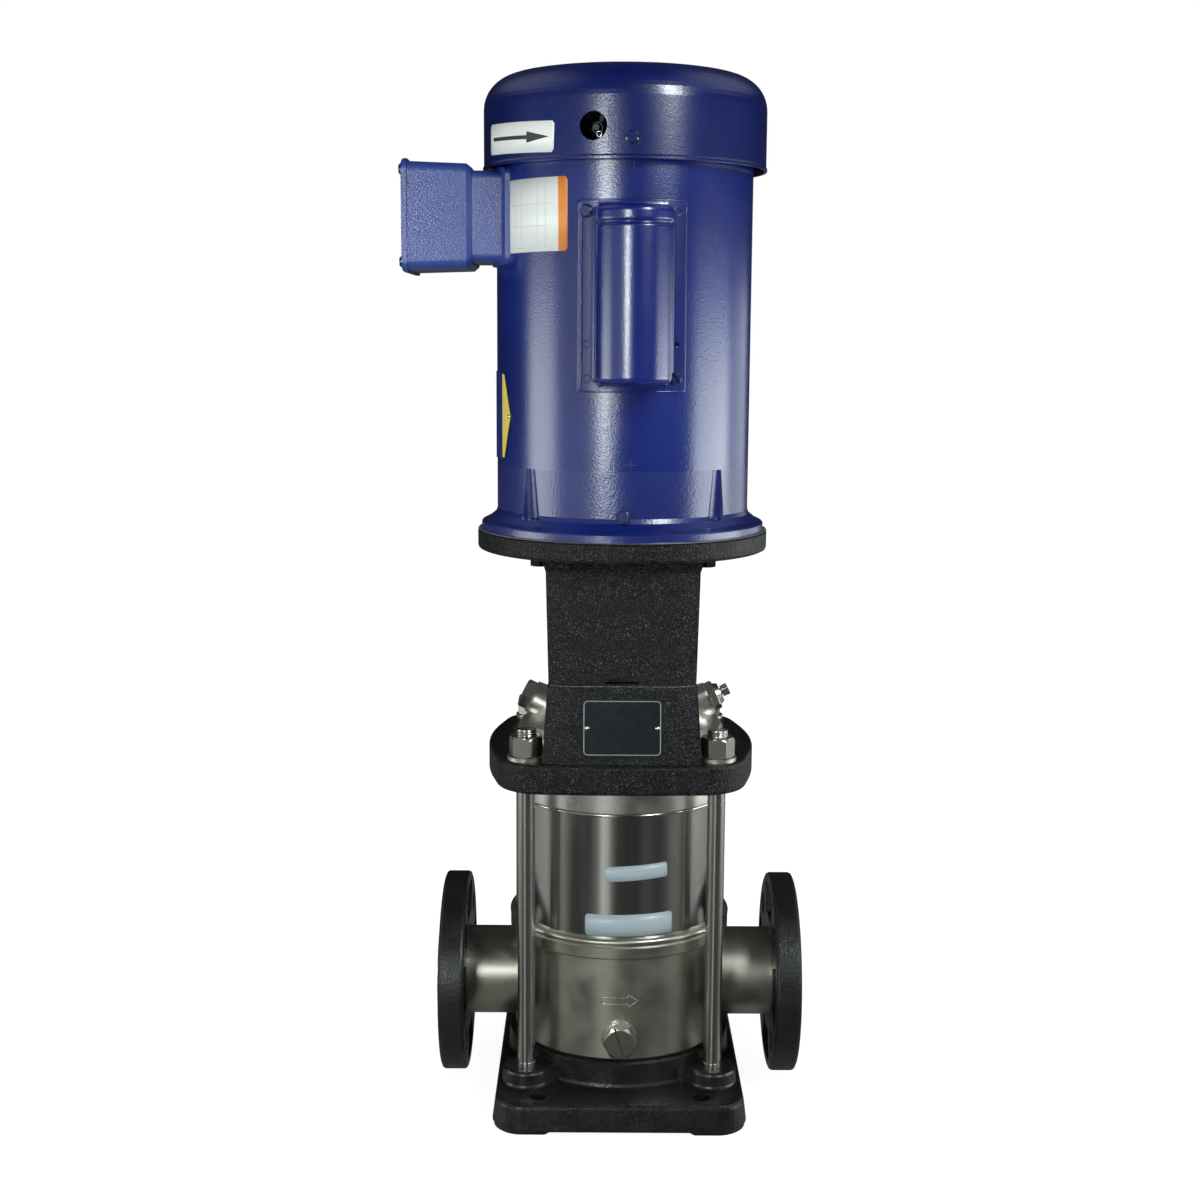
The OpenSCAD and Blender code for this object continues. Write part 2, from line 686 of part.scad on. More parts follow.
module vent_stem() color([0.66, 0.65, 0.60]) {
    top = plug_head_h + 2 + stem_out;
    on_boss(1, plug_reach) {
        difference() {
            translate([0, 0, -plug_thread_len + 2]) cylinder(r = stem_r, h = plug_thread_len - 2 + top - 5);
            translate([0, 0, ring_z]) ring(stem_r + over, stem_r - 0.7, 2);
        }
        translate([0, 0, top - 6]) rotate([0, 0, 20]) intersection() {
            translate([-stem_af / 2, -stem_af / 2, 0]) cube([stem_af, stem_af, 6]);
            cylinder(r1 = stem_af * 0.62, r2 = stem_af * 0.68, h = 6);
        }
    }
}

module vent_stem_ring() color([0.08, 0.08, 0.08]) {
    on_boss(1, plug_reach + ring_z + 0.1) ring(ring_room_r - 0.1, stem_r - 0.6, 1.8);
}

// Stay bolts with their washers and nuts
module stay_bolts() color([0.66, 0.66, 0.64]) {
    nut_top = plate_top + stay_washer_t + stay_nut_h;
    low = foot_h + 7;
    at_corners(stay_half, stay_half) {
        translate([0, 0, low]) cylinder(d = stay_thread_d, h = boss_top + 3 - low);
        translate([0, 0, low]) cylinder(d = stay_d, h = nut_top - low);
        translate([0, 0, plate_top - 8])
            cylinder(d = stay_thread_d, h = stay_nut_h + stay_washer_t + 8 + stay_stand - 1);
        translate([0, 0, nut_top + stay_stand - 1.01]) cylinder(d1 = stay_thread_d, d2 = stay_thread_d - 2, h = 1.01);
    }
}

module stay_washers() color([0.70, 0.69, 0.64]) {
    at_corners(stay_half, stay_half)
        translate([0, 0, plate_top]) ring(stay_washer_d / 2, stay_thread_d / 2 + 0.6, stay_washer_t);
}

module stay_nuts() color([0.62, 0.62, 0.60]) {
    at_corners(stay_half, stay_half) translate([0, 0, plate_top + stay_washer_t]) difference() {
        rotate([0, 0, 20]) turned_hexagon(stay_nut_af, stay_nut_h);
        translate([0, 0, -over]) cylinder(r = stay_thread_d / 2 + fit, h = stay_nut_h + 2 * over);
    }
}

// Motor stool
module stool_outline(inset) {
    side_r = 215;
    front_r = 900;
    corner_r = 39;
    for (sx = [-1, 1], sy = [-1, 1])
        translate([sx * (stool_half_w - corner_r - 9), sy * (stool_half_d - corner_r - 2)])
            circle(corner_r - inset, $fn = 60);
    polygon([for (s = [-1, 1], t = [-50 : 10 : 50]) [s * (stool_half_w - inset - t * t / (2 * side_r)), s * t]]);
    polygon([for (s = [-1, 1], t = [-50 : 25 : 50]) [-s * t, s * (stool_half_d - inset - t * t / (2 * front_r))]]);
}

module stool_plate() {
    edge = 3;
    hull() for (a = [0 : 30 : 90]) {
        translate([0, 0, stool_z + edge * (1 - sin(a))]) linear_extrude(0.1) stool_outline(edge * (1 - cos(a)));
        translate([0, 0, plate_top - 0.1 - edge * (1 - sin(a))])
            linear_extrude(0.1) stool_outline(edge * (1 - cos(a)));
    }
}

module neck_slice(z, w, d) {
    translate([0, 0, z]) linear_extrude(slice) polygon([[-w, facet_y(d)], [-neck_flat, -d], [neck_flat, -d],
        [w, facet_y(d)], [w, -facet_y(d)], [neck_flat, d], [-neck_flat, d], [-w, -facet_y(d)]]);
}
function facet_y(d) = neck_facet - d;

module neck_form() {
    w = neck_half_w;
    d = neck_half_d;
    hull() {
        neck_slice(plate_top - 2, w + 5, d + 6.5);
        neck_slice(waist_z - 1, w + 0.9, d + 1.2);
    }
    hull() {
        neck_slice(waist_z - 1.2, w + 0.9, d + 1.2);
        neck_slice(waist_z + 1, w, d);
    }
    hull() {
        neck_slice(waist_z, w, d);
        neck_slice(flange_under - 10, w + 2.3, d - 2.5);
    }
    hull() {
        neck_slice(flange_under - 10.1, w + 2.3, d - 2.5);
        neck_slice(flange_under + 2, w + 6, d + 1.5);
    }
}

// Tunnel through the neck from side to side, round at its upper corners.
window_round = 18;
module side_window() {
    r = window_round;
    h = window_top - plate_top;
    rotate([90, 0, 90]) translate([0, plate_top, -stool_half_w]) linear_extrude(2 * stool_half_w) {
        translate([-window_half_d, 0]) square([2 * window_half_d, h - r]);
        translate([-window_half_d + r, 0]) square([2 * window_half_d - 2 * r, h]);
        for (s = [-1, 1]) translate([s * (window_half_d - r), h - r]) circle(r);
    }
}

module vision_slot() {
    half = 14.5;
    rise = 5.5;
    r = (half * half + rise * rise) / (2 * rise);
    rotate([90, 0, 0]) translate([0, waist_z + 1.5 + rise - r, 0]) intersection() {
        translate([0, 0, -neck_half_d - 2 * over]) cylinder(r = r, h = 2 * neck_half_d + 4 * over);
        translate([-half - 1, r - rise, -neck_half_d - 2 * over]) cube([2 * half + 2, rise + 1, 2 * neck_half_d + 4 * over]);
    }
}

module motor_stool() color([0.12, 0.12, 0.13]) {
    hole_r = dome_r + 0.8;
    difference() {
        union() {
            stool_plate();
            neck_form();
            translate([0, 0, flange_under]) rotate_extrude() polygon([[0, 0], [stool_flange_r - 2.5, 0],
                [stool_flange_r - 0.7, 0.8], [stool_flange_r, 2.5], [stool_flange_r, stool_flange_t - 1.5],
                [stool_flange_r - 1.5, stool_flange_t], [0, stool_flange_t]]);
        }
        side_window();
        for (s = [-1, 1]) translate([-48, s > 0 ? 0 : -neck_half_d + web_t, plate_top + 20])
            cube([96, neck_half_d - web_t, window_top - plate_top - 26]);
        for (s = [-1, 1]) translate([s > 0 ? guard_x : -guard_x - 10, -window_half_d - guard_land - 1, guard_z0 - 2])
            cube([10, 2 * (window_half_d + guard_land + 1), guard_z1 - guard_z0 + 4]);
        translate([0, 0, stool_z]) rotate_extrude() polygon([[0, -1], [hole_r, -1], [hole_r, dome_h - 23],
            [hole_r - 8, dome_h - 14], [0, dome_h - 14]]);
        translate([0, 0, window_top - 1]) cylinder(r = neck_half_w - 6, h = stool_h);
        translate([0, 0, stool_top - 4.2]) cylinder(r = face_r - 6.3, h = 10);
        vision_slot();
        at_corners(stay_half, stay_half)
            translate([0, 0, stool_z - over]) cylinder(d = stay_thread_d + 1.8, h = stool_plate_t + 2 * over);
        at_corners(stay_half, stay_half)
            translate([0, 0, plate_top - 0.4]) cylinder(d = stay_washer_d + 2, h = 35);
        at_corners(bolt_half, bolt_half) {
            translate([0, 0, flange_under - over]) cylinder(r = 5.2, h = stool_flange_t + 2 * over);
            translate([0, 0, flange_under - 20]) cylinder(r = 10, h = 20);
        }
        for (sx = [-1, 1], sy = [-1, 1], z = guard_screw_z)
            translate([sx * (guard_x - 8), sy * guard_screw_y, z]) rotate([0, sx * 90, 0]) cylinder(r = 2.05, h = 12);
    }
}
guard_screw_z = [guard_z0 + 12, guard_z1 - 14];
guard_screw_y = window_half_d + guard_land / 2;

// Sheet guards that close the two side windows round the coupling.
module coupling_guard() {
    h = guard_z1 - guard_z0;
    inset = 7;
    half = window_half_d - 1;
    difference() {
        translate([0, 0, guard_z0]) linear_extrude(h) polygon([[guard_x, -half - guard_land],
            [guard_x + guard_t, -half - guard_land], [guard_x + guard_t, -half + guard_t],
            [guard_x - inset + guard_t, -half + inset], [guard_x - inset + guard_t, half - inset],
            [guard_x + guard_t, half - guard_t], [guard_x + guard_t, half + guard_land],
            [guard_x, half + guard_land], [guard_x, half - guard_t], [guard_x - inset, half - inset - 1],
            [guard_x - inset, -half + inset + 1], [guard_x, -half + guard_t]]);
        for (i = [0 : guard_slots - 1], k = [-1, 1])
            translate([guard_x - inset - over, k * half * 0.45, guard_z0 + h * (i + 1) / (guard_slots + 1)])
                rotate([0, 90, 0]) linear_extrude(guard_t + 2 * over) round_rect(4, half * 0.62, 1.9);
        for (sy = [-1, 1], z = guard_screw_z)
            translate([guard_x - over, sy * guard_screw_y, z]) rotate([0, 90, 0]) cylinder(r = 2.3, h = 5);
        for (k = [-1, 1]) translate([guard_x - inset - over, 0, 0]) rotate([90, 0, 90]) linear_extrude(inset + over + 0.02)
            window_corner(k);
    }
}

// What the window's round upper corner leaves of a square one, with room round the guard.
module window_corner(side) {
    r = window_round;
    translate([side * (window_half_d - r), window_top - r]) difference() {
        translate([side > 0 ? 0 : -r - over, 0]) square([r + over, r + over]);
        circle(r - over);
    }
}

module coupling_guards() color([0.66, 0.66, 0.66]) {
    coupling_guard();
    rotate([0, 0, 180]) coupling_guard();
}

module guard_screws() color([0.6, 0.6, 0.6]) {
    for (sx = [-1, 1], sy = [-1, 1], z = guard_screw_z)
        translate([sx * (guard_x + guard_t), sy * guard_screw_y, z]) rotate([0, sx * 90, 0]) {
            slotted_head(3.4, 2, 30);
            translate([0, 0, -guard_t - 6.5]) cylinder(r = 2, h = guard_t + 6.6);
        }
}

// Lies on the lower front of the neck, which leans back a little.
lean = atan(5.3 / (waist_h + 1));
module on_lower_front(x, up) {
    translate([0, -neck_half_d - 6.5, plate_top - 2 + slice]) rotate([-lean, 0, 0])
        translate([x, 0, up]) rotate([90, 0, 0]) children();
}

plate_up = 8.3 + plate_h / 2;
module stool_nameplate() color([0.20, 0.24, 0.26]) {
    on_lower_front(0, plate_up) linear_extrude(plate_t) round_rect(plate_w, plate_h, 3);
}

module nameplate_rivets() color([0.75, 0.75, 0.72]) {
    for (s = [-1, 1]) on_lower_front(s * (plate_w / 2 - 4), plate_up)
        translate([0, 0, plate_t]) dome_rivet(2);
    for (a = name_rivet_angles, z = name_rivet_z)
        facing(a) translate([-z, 0, frame_r + 0.75]) dome_rivet(1.6);
}

module motor_bolts() color([0.16, 0.16, 0.17]) {
    head_h = 7.5;
    at_corners(bolt_half, bolt_half) translate([0, 0, flange_under]) {
        mirror([0, 0, 1]) rotate([0, 0, 30]) turned_hexagon(14.3, head_h);
        translate([0, 0, -over]) cylinder(r = 4.7, h = stool_flange_t + 12 + over);
    }
}

// Hydraulic stack
module spider(inner, hub, reach, h) {
    ring(hub, inner, h);
    for (a = [0 : 90 : 270]) rotate([0, 0, a]) translate([hub - 1, -2, 0]) cube([reach - hub + 1.5, 4, h]);
}

module inlet_stage() color([0.70, 0.70, 0.68]) {
    h = stack_z - cup_top;
    translate([0, 0, cup_top]) ring(bowl_r, eye_r + 5, h);
    translate([0, 0, cup_top - 6]) ring(cup_r - cup_wall - 0.3, cup_r - cup_wall - 4, 6.5);
    translate([0, 0, cup_top - 8]) ring(eye_r + 8, eye_r + 5, 8.5);
    translate([0, 0, cup_top - 8]) spider(pump_shaft_r + 4, pump_shaft_r + 7, eye_r + 6, 6);
}

// Curved blade: the part of an arc of radius bend that lies between two circles.
module arc_blade(r0, r1, bend, h, t) {
    intersection() {
        translate([0, -bend + 3, 0]) translate([r0 + 2, 0, 0]) ring(bend + t / 2, bend - t / 2, h);
        ring(r1, r0, h);
        translate([0, -r1, 0]) cube([2 * r1, r1 + 12, h]);
    }
}

module stage_bowl(extra) {
    floor_t = 4;
    ring(bowl_r, bowl_r - bowl_wall, stage_h + extra);
    translate([0, 0, stage_h - floor_t]) {
        ring(bowl_r - bowl_wall / 2, eye_r + 5, floor_t);
        spider(spacer_r + 5.2, spacer_r + 8, eye_r + 6, floor_t);
    }
    for (i = [0 : guide_vanes - 1]) rotate([0, 0, i * 360 / guide_vanes])
        translate([0, 0, 26]) arc_blade(impeller_r - 14, bowl_r - bowl_wall / 2, 44, stage_h - 26 - floor_t / 2, vane_t);
}

module stage_bowls() color([0.72, 0.72, 0.70]) {
    for (i = [0 : stages - 1])
        translate([0, 0, stack_z + i * stage_h]) stage_bowl(i == stages - 1 ? 6 : 0);
}

module stage_bearings() color([0.25, 0.25, 0.26]) {
    translate([0, 0, cup_top - 8.5]) ring(pump_shaft_r + 4 - fit, pump_shaft_r + bearing_gap, 7);
    for (i = [1 : stages]) translate([0, 0, stack_z + i * stage_h - 4.5])
        ring(spacer_r + 5.2 - fit, spacer_r + bearing_gap, 5);
}

module wear_rings() color([0.30, 0.30, 0.30]) {
    for (i = [0 : stages - 1]) translate([0, 0, stack_z + i * stage_h]) ring(eye_r + 8, eye_r + 4.4, 5);
}

module impeller() {
    difference() {
        union() {
            translate([0, 0, 3]) cylinder(r = spacer_r + 2.5, h = 18);
            translate([0, 0, 19]) cylinder(r = impeller_r, h = 2);
            translate([0, 0, 1]) ring(eye_r + 4, eye_r, 8.5);
            translate([0, 0, 9]) ring(impeller_r, eye_r, 2);
            for (i = [0 : impeller_vanes - 1]) rotate([0, 0, i * 360 / impeller_vanes])
                translate([0, 0, 10.5]) arc_blade(spacer_r + 6, impeller_r - 0.5, 34, 9, vane_t);
        }
        cylinder(r = pump_shaft_r + 0.01, h = 30);
    }
}

module impellers() color([0.75, 0.74, 0.70]) {
    for (i = [0 : stages - 1]) translate([0, 0, stack_z + i * stage_h]) impeller();
}

module impeller_spacers() color([0.70, 0.70, 0.70]) {
    for (i = [0 : stages - 2]) translate([0, 0, stack_z + i * stage_h + 21])
        ring(spacer_r, pump_shaft_r + 0.01, stage_h - 18);
    translate([0, 0, stack_z + (stages - 1) * stage_h + 21]) ring(spacer_r, pump_shaft_r + 0.01, stage_h - 10);
    translate([0, 0, stack_z - 2]) ring(spacer_r, pump_shaft_r + 0.01, 5);
}

module pump_shaft() color([0.75, 0.75, 0.76]) {
    difference() {
        translate([0, 0, cup_top - 12]) cylinder(r = pump_shaft_r, h = shaft_end - 4 - cup_top + 12);
        translate([0, 0, coupling_z + 14]) rotate([0, 90, 0])
            cylinder(r = coupling_pin_r + 0.01, h = 3 * pump_shaft_r, center = true);
    }
}

// Shaft seal
module seal_carrier() color([0.72, 0.72, 0.70]) {
    difference() {
        union() {
            translate([0, 0, dome_top]) cylinder(r = dome_top_r - 1, h = 6);
            translate([0, 0, dome_top - 12]) cylinder(r = seal_mouth_r - fit, h = 13);
        }
        translate([0, 0, dome_top - 13]) cylinder(r = 14, h = 30);
        translate([0, 0, dome_top - 12 - over]) cylinder(r = 20, h = 6 + over);
        for (a = [45 : 90 : 315]) rotate([0, 0, a]) translate([seal_screw_pitch, 0, dome_top - over]) cylinder(r = 2.8, h = 10);
    }
}

module seal_carrier_screws() color([0.35, 0.35, 0.36]) {
    for (a = [45 : 90 : 315]) rotate([0, 0, a]) translate([seal_screw_pitch, 0, dome_top + 6]) difference() {
        union() {
            cylinder(r = 4.2, h = 5);
            translate([0, 0, -13]) cylinder(r = 2.45, h = 13.5);
        }
        translate([0, 0, 2.5]) hexagon(4, 3);
    }
}

module seal_seat() color([0.20, 0.20, 0.21]) {
    translate([0, 0, dome_top - 12]) ring(19.9, 12, 6);
}

module seal_face_ring() color([0.16, 0.16, 0.17]) {
    translate([0, 0, dome_top - 20.1]) ring(18, pump_shaft_r + 0.01, 8);
}

module seal_driver() color([0.72, 0.72, 0.72]) {
    translate([0, 0, dome_top - 44]) ring(18, pump_shaft_r + 0.01, 8);
}

// Coil swept as a tube along a helix.
module coil(r, wire, h, turns) {
    sides = 8;
    per_turn = 16;
    steps = turns * per_turn;
    points = [for (i = [0 : steps], j = [0 : sides - 1])
        let (a = i * 360 / per_turn, b = j * 360 / sides, rr = r + wire * cos(b))
        [rr * cos(a), rr * sin(a), h * i / steps + wire * sin(b)]];
    skins = [for (i = [0 : steps - 1], j = [0 : sides - 1])
        [i * sides + j, i * sides + (j + 1) % sides, (i + 1) * sides + (j + 1) % sides, (i + 1) * sides + j]];
    ends = [[for (j = [sides - 1 : -1 : 0]) j], [for (j = [0 : sides - 1]) steps * sides + j]];
    polyhedron(points, concat([for (f = skins) [f[3], f[2], f[1], f[0]]], [for (f = ends) [for (k = [len(f) - 1 : -1 : 0]) f[k]]]));
}

module seal_spring() color([0.68, 0.68, 0.68]) {
    wire = 1.1;
    translate([0, 0, dome_top - 36 + wire]) coil(14.5, wire, 15.9 - 2 * wire, 4);
}

// Coupling
coupling_screw_y = 22;
coupling_screw_z = [coupling_z + 24, coupling_top - 16];
module coupling_half() {
    difference() {
        translate([0, 0, coupling_z]) rotate_extrude(angle = 180, start = -90) polygon([[0, 2],
            [coupling_r - 2, 0], [coupling_r, 2], [coupling_r, coupling_len - 2],
            [coupling_r - 2, coupling_len], [0, coupling_len]]);
        translate([-coupling_r, -coupling_r - over, coupling_z - over])
            cube([coupling_r + coupling_gap / 2, 2 * coupling_r + 2 * over, coupling_len + 2 * over]);
        translate([0, 0, coupling_z - over]) cylinder(r = pump_shaft_r + 0.01, h = coupling_len);
        translate([0, 0, shaft_end - 2]) cylinder(r = motor_shaft_r + 0.01, h = coupling_len);
        translate([0, 0, coupling_z + 14]) rotate([0, 90, 0]) cylinder(r = coupling_pin_r + 0.01, h = 20);
        for (s = [-1, 1], z = coupling_screw_z) translate([0, s * coupling_screw_y, z]) rotate([0, 90, 0]) {
            cylinder(r = 4.1, h = coupling_r);
            translate([0, 0, 15]) cylinder(r = 6.7, h = coupling_r);
        }
    }
}

module coupling_halves() color([0.45, 0.45, 0.46]) {
    coupling_half();
    rotate([0, 0, 180]) coupling_half();
}

module coupling_screws() color([0.30, 0.30, 0.31]) {
    for (s = [-1, 1], z = coupling_screw_z) translate([0, s * coupling_screw_y, z]) rotate([0, 90, 0]) {
        translate([0, 0, -20]) cylinder(r = 4, h = 36);
        difference() {
            translate([0, 0, 15]) cylinder(r = 6.5, h = 7);
            translate([0, 0, 18.5]) hexagon(6, 6);
        }
        translate([0, 0, -15]) mirror([0, 0, 1]) cylinder(r = 6.4, h = 6.5);
    }
}

module coupling_pin() color([0.62, 0.62, 0.64]) {
    translate([0, 0, coupling_z + 14]) rotate([0, 90, 0]) cylinder(r = coupling_pin_r, h = 34, center = true);
}

// Motor, rotating pieces
module motor_shaft() color([0.70, 0.70, 0.71]) {
    seat_r = 15 - bearing_gap;
    top_r = 12.5 - bearing_gap;
    translate([0, 0, shaft_end]) cylinder(r1 = motor_shaft_r - 1, r2 = motor_shaft_r, h = 1);
    translate([0, 0, shaft_end + 0.99]) cylinder(r = motor_shaft_r, h = stool_top - shaft_end);
    translate([0, 0, stool_top]) cylinder(r = seat_r, h = drive_bearing_z + bearing_w - stool_top + 0.5);
    translate([0, 0, drive_bearing_z + bearing_w + 0.4]) cylinder(r = 18, h = core_top + 8 - drive_bearing_z - bearing_w);
    translate([0, 0, core_top + 8]) cylinder(r = 15, h = fan_bearing_z - core_top - 8.4);
    translate([0, 0, fan_bearing_z - 0.5]) cylinder(r = top_r, h = frame_top + shaft_up - fan_bearing_z);
}

module rotor_core() color([0.38, 0.38, 0.40]) {
    translate([0, 0, core_z]) ring(rotor_r, 18.01, core_len);
    for (z = [core_z - 8, core_top]) translate([0, 0, z]) ring(rotor_r - 2, rotor_r - 16, 8);
    for (i = [0 : 7], z = [core_z - 15, core_top + 7]) rotate([0, 0, i * 45])
        translate([rotor_r - 12, -1.5, z]) cube([9, 3, 8]);
}

module cooling_fan() color([0.10, 0.10, 0.11]) {
    translate([0, 0, frame_top + fan_up]) {
        ring(20, 12.5, 22);
        ring(fan_r - 4, 19, 2.5);
        for (i = [0 : fan_blades - 1]) rotate([0, 0, i * 360 / fan_blades])
            translate([24, -1.25, 2]) linear_extrude(24) polygon([[0, 0], [fan_r - 24, 0], [fan_r - 24, 2.5], [0, 2.5]]);
    }
}

module governor() color([0.55, 0.55, 0.50]) {
    translate([0, 0, core_top + 16]) {
        ring(22, 15.01, 7);
        for (a = [0, 180]) rotate([0, 0, a]) {
            translate([20, -10, 0]) cube([16, 20, 5]);
            translate([27, -9, 4.9]) cube([8, 18, 6]);
        }
    }
}

module switch_collar() color([0.75, 0.70, 0.50]) {
    translate([0, 0, core_top + 23 + switch_travel + 0.3]) {
        ring(21, 15 + bearing_gap, 6);
        translate([0, 0, 5.9]) ring(30, 15 + bearing_gap, 2.5);
    }
}

// Motor, fixed pieces
module bearing(bore, outer, h) {
    race = (outer - bore) * 0.24;
    ball_r = (outer - bore) / 2 - race + 0.9;
    mid = (outer + bore) / 2;
    difference() {
        union() {
            ring(bore + race, bore, h);
            ring(outer, outer - race, h);
        }
        translate([0, 0, h / 2]) o_ring(mid, ball_r + 0.03);
    }
    for (i = [0 : 7]) rotate([0, 0, i * 45]) translate([mid, 0, h / 2]) sphere(ball_r);
}

module motor_bearings() color([0.62, 0.62, 0.64]) {
    translate([0, 0, drive_bearing_z]) bearing(15, bearing_r - fit, bearing_w);
    translate([0, 0, fan_bearing_z]) bearing(12.5, 26 - fit, bearing_w - 1);
}

module stator_core() color([0.34, 0.34, 0.36]) {
    translate([0, 0, core_z]) difference() {
        ring(frame_r - frame_wall - 0.05, rotor_r + air_gap, core_len);
        for (a = [45 : 90 : 315]) rotate([0, 0, a]) translate([through_r, 0, -over]) cylinder(r = 5, h = core_len + 2 * over);
        for (i = [0 : 23]) rotate([0, 0, i * 15]) translate([rotor_r + air_gap + 12, 0, -over])
            cylinder(r = 4, h = core_len + 2 * over, $fn = 16);
    }
}

module stator_windings() color([0.62, 0.34, 0.16]) {
    for (z = [core_z - 24, core_top + 2]) translate([0, 0, z])
        rotate_extrude() translate([rotor_r + 18, 11]) circle(10.9, $fn = 40);
    for (i = [0 : 23]) rotate([0, 0, i * 15]) translate([rotor_r + air_gap + 12, 0, core_z - 6])
        cylinder(r = 3.9, h = core_len + 12, $fn = 16);
}

module motor_frame() color([0.10, 0.16, 0.45]) {
    difference() {
        translate([0, 0, seam_z]) ring(frame_r, frame_r - frame_wall, frame_len);
        translate([-frame_r - 5, 0, box_z]) rotate([0, 90, 0]) cylinder(r = 18, h = 20);
        facing(-90) translate([-cap_z, cap_x, frame_r - 10]) cylinder(r = 8, h = 20);
        for (p = cap_screws) facing(p[0]) translate([-p[1], 0, frame_r - 8]) cylinder(r = 2.05, h = 12);
        for (p = cap_holes) facing(p[0]) translate([-p[1], 0, frame_r - 8]) cylinder(r = p[2], h = 12);
    }
}

module drive_endshield() color([0.12, 0.18, 0.48]) {
    z0 = stool_top;
    spigot_r = frame_r - frame_wall - 0.05;
    difference() {
        union() {
            rotate_extrude() polygon([[0, z0 - 4], [face_r - 6.4, z0 - 4], [face_r - 6.4, z0],
                [face_r, z0], [face_r, z0 + 5.5], [face_r - 0.8, z0 + 6.5], [face_r - 6, z0 + 9],
                [frame_r + 1.2, z0 + 13.5], [frame_r, z0 + 17], [frame_r, seam_z], [spigot_r, seam_z],
                [spigot_r, seam_z + 8], [spigot_r - 5, seam_z + 8], [spigot_r - 5, seam_z],
                [spigot_r - 9, seam_z - 6], [spigot_r - 9, z0 + 18], [bearing_r + 10, z0 + 14],
                [bearing_r + 10, drive_bearing_z + bearing_w + 4], [0, drive_bearing_z + bearing_w + 4]]);
            for (a = [45 : 90 : 315]) rotate([0, 0, a]) translate([through_r - 3, 0, z0 + 12])
                cylinder(r = 9.4, h = shield_h - 12.5);
            translate([0, -frame_r + 4, z0 + 19]) rotate([90, 0, 0]) cylinder(r = 6.5, h = 5);
        }
        translate([0, 0, z0 - 5]) cylinder(r = 17, h = 60);
        translate([0, 0, drive_bearing_z]) cylinder(r = bearing_r, h = 30);
        for (a = [45 : 90 : 315]) rotate([0, 0, a]) {
            translate([face_bolt_r, 0, z0 - 5]) cylinder(r = 4.75, h = 18);
            translate([frame_r + 4, 0, z0 + 13]) cylinder(r1 = 10.5, r2 = 6.2, h = shield_h - 12.4);
            translate([through_r, 0, z0 + through_up - 1]) cylinder(r = 4.05, h = shield_h);
        }
        translate([0, -frame_r - 4, z0 + 19]) rotate([-90, 0, 0]) cylinder(r = 3.05, h = 12);
    }
}

module fan_endshield() color([0.10, 0.15, 0.42]) {
    z = frame_top;
    spigot_r = frame_r - frame_wall - 0.05;
    difference() {
        union() {
            rotate_extrude() polygon([[0, z], [frame_r, z], [frame_r, z + 3.5], [frame_r - 1.5, z + 5],
                [frame_r - 12, z + 5], [bearing_r + 6, z - 1 + 5], [0, z + 4]]);
            translate([0, 0, z - 8]) ring(spigot_r, spigot_r - 6, 9);
            translate([0, 0, fan_bearing_z - 2]) cylinder(r = bearing_r + 3, h = z - fan_bearing_z + 3);
            for (a = cover_angles) rotate([0, 0, a]) translate([frame_r - 10, -7, z + 3])
                cube([cover_r - cover_t - 0.3 - frame_r + 10, 14, screw_z - z + 4]);
            rotate([0, 0, grease_angle]) translate([frame_r - 12, 0, z + 4]) cylinder(r = 7, h = 6);
        }
        translate([0, 0, fan_bearing_z - 3]) cylinder(r = 26, h = 3 + bearing_w - 1);
        translate([0, 0, fan_bearing_z]) cylinder(r = 15, h = 40);
        for (a = [45 : 90 : 315]) rotate([0, 0, a]) translate([through_r, 0, z - 10]) cylinder(r = 4.3, h = 30);
        for (a = cover_angles) facing(a) translate([-screw_z, 0, cover_r - 10]) cylinder(r = 2.05, h = 20);
        rotate([0, 0, grease_angle]) translate([frame_r - 12, 0, z + 5]) cylinder(r = 3.05, h = 10);
        for (i = [0 : 7]) rotate([0, 0, i * 45 + 22.5]) translate([66, 0, z - 5]) cylinder(r = 11, h = 20);
    }
}

through_up = 31;
module through_bolts() color([0.55, 0.55, 0.52]) {
    h = frame_top + 5 - stool_top - through_up;
    for (a = [45 : 90 : 315]) rotate([0, 0, a]) translate([through_r, 0, stool_top + through_up]) {
        cylinder(r = 4, h = h + 1);
        translate([0, 0, h + 0.02]) turned_hexagon(12, 5);
    }
}

// Fan cover: deep drawn sheet with a round shoulder and a slotted air inlet on top.
module cover_profile(r, top, shoulder, flare) {
    crown = 3;
    polygon(concat([[0, 0], [r + flare, 0], [r + flare, 1.8], [r, 3.2]],
        [for (a = [0 : 7.5 : 82.5]) [r - shoulder + shoulder * cos(a), top - shoulder - crown + shoulder * sin(a)]],
        [[r - shoulder, top - crown + 0.1], [r * 0.4, top - 0.8], [0, top]]));
}

module air_slot(len) {
    linear_extrude(12) round_rect(len, grille_slot_w, grille_slot_w / 2 - 0.01);
}

module fan_cover() color([0.09, 0.14, 0.42]) {
    difference() {
        translate([0, 0, cover_z]) rotate_extrude($fn = 96) cover_profile(cover_r, cover_h, cover_shoulder, 0.8);
        translate([0, 0, cover_z - 0.01]) rotate_extrude($fn = 96)
            cover_profile(cover_r - cover_t, cover_h - cover_t, cover_shoulder - cover_t, 0);
        for (i = [0 : grille_slots - 1]) rotate([0, 0, i * 360 / grille_slots])
            translate([30, 0, cover_top - 8]) air_slot(22);
        for (i = [0 : 2 * grille_slots - 1]) rotate([0, 0, (i + 0.5) * 180 / grille_slots])
            translate([57, 0, cover_top - 8]) air_slot(22);
        facing(grease_angle) translate([-grease_z, 0, cover_r - 12]) cylinder(r = grease_hole_r, h = 20);
        for (a = cover_angles) facing(a) translate([-screw_z, 0, cover_r - 5]) cylinder(r = 2.3, h = 10);
    }
}

module cover_screw(head_r, len, turn) {
    slotted_head(head_r, 2.2, turn);
    translate([0, 0, -len]) cylinder(r = 2, h = len + 0.1);
}

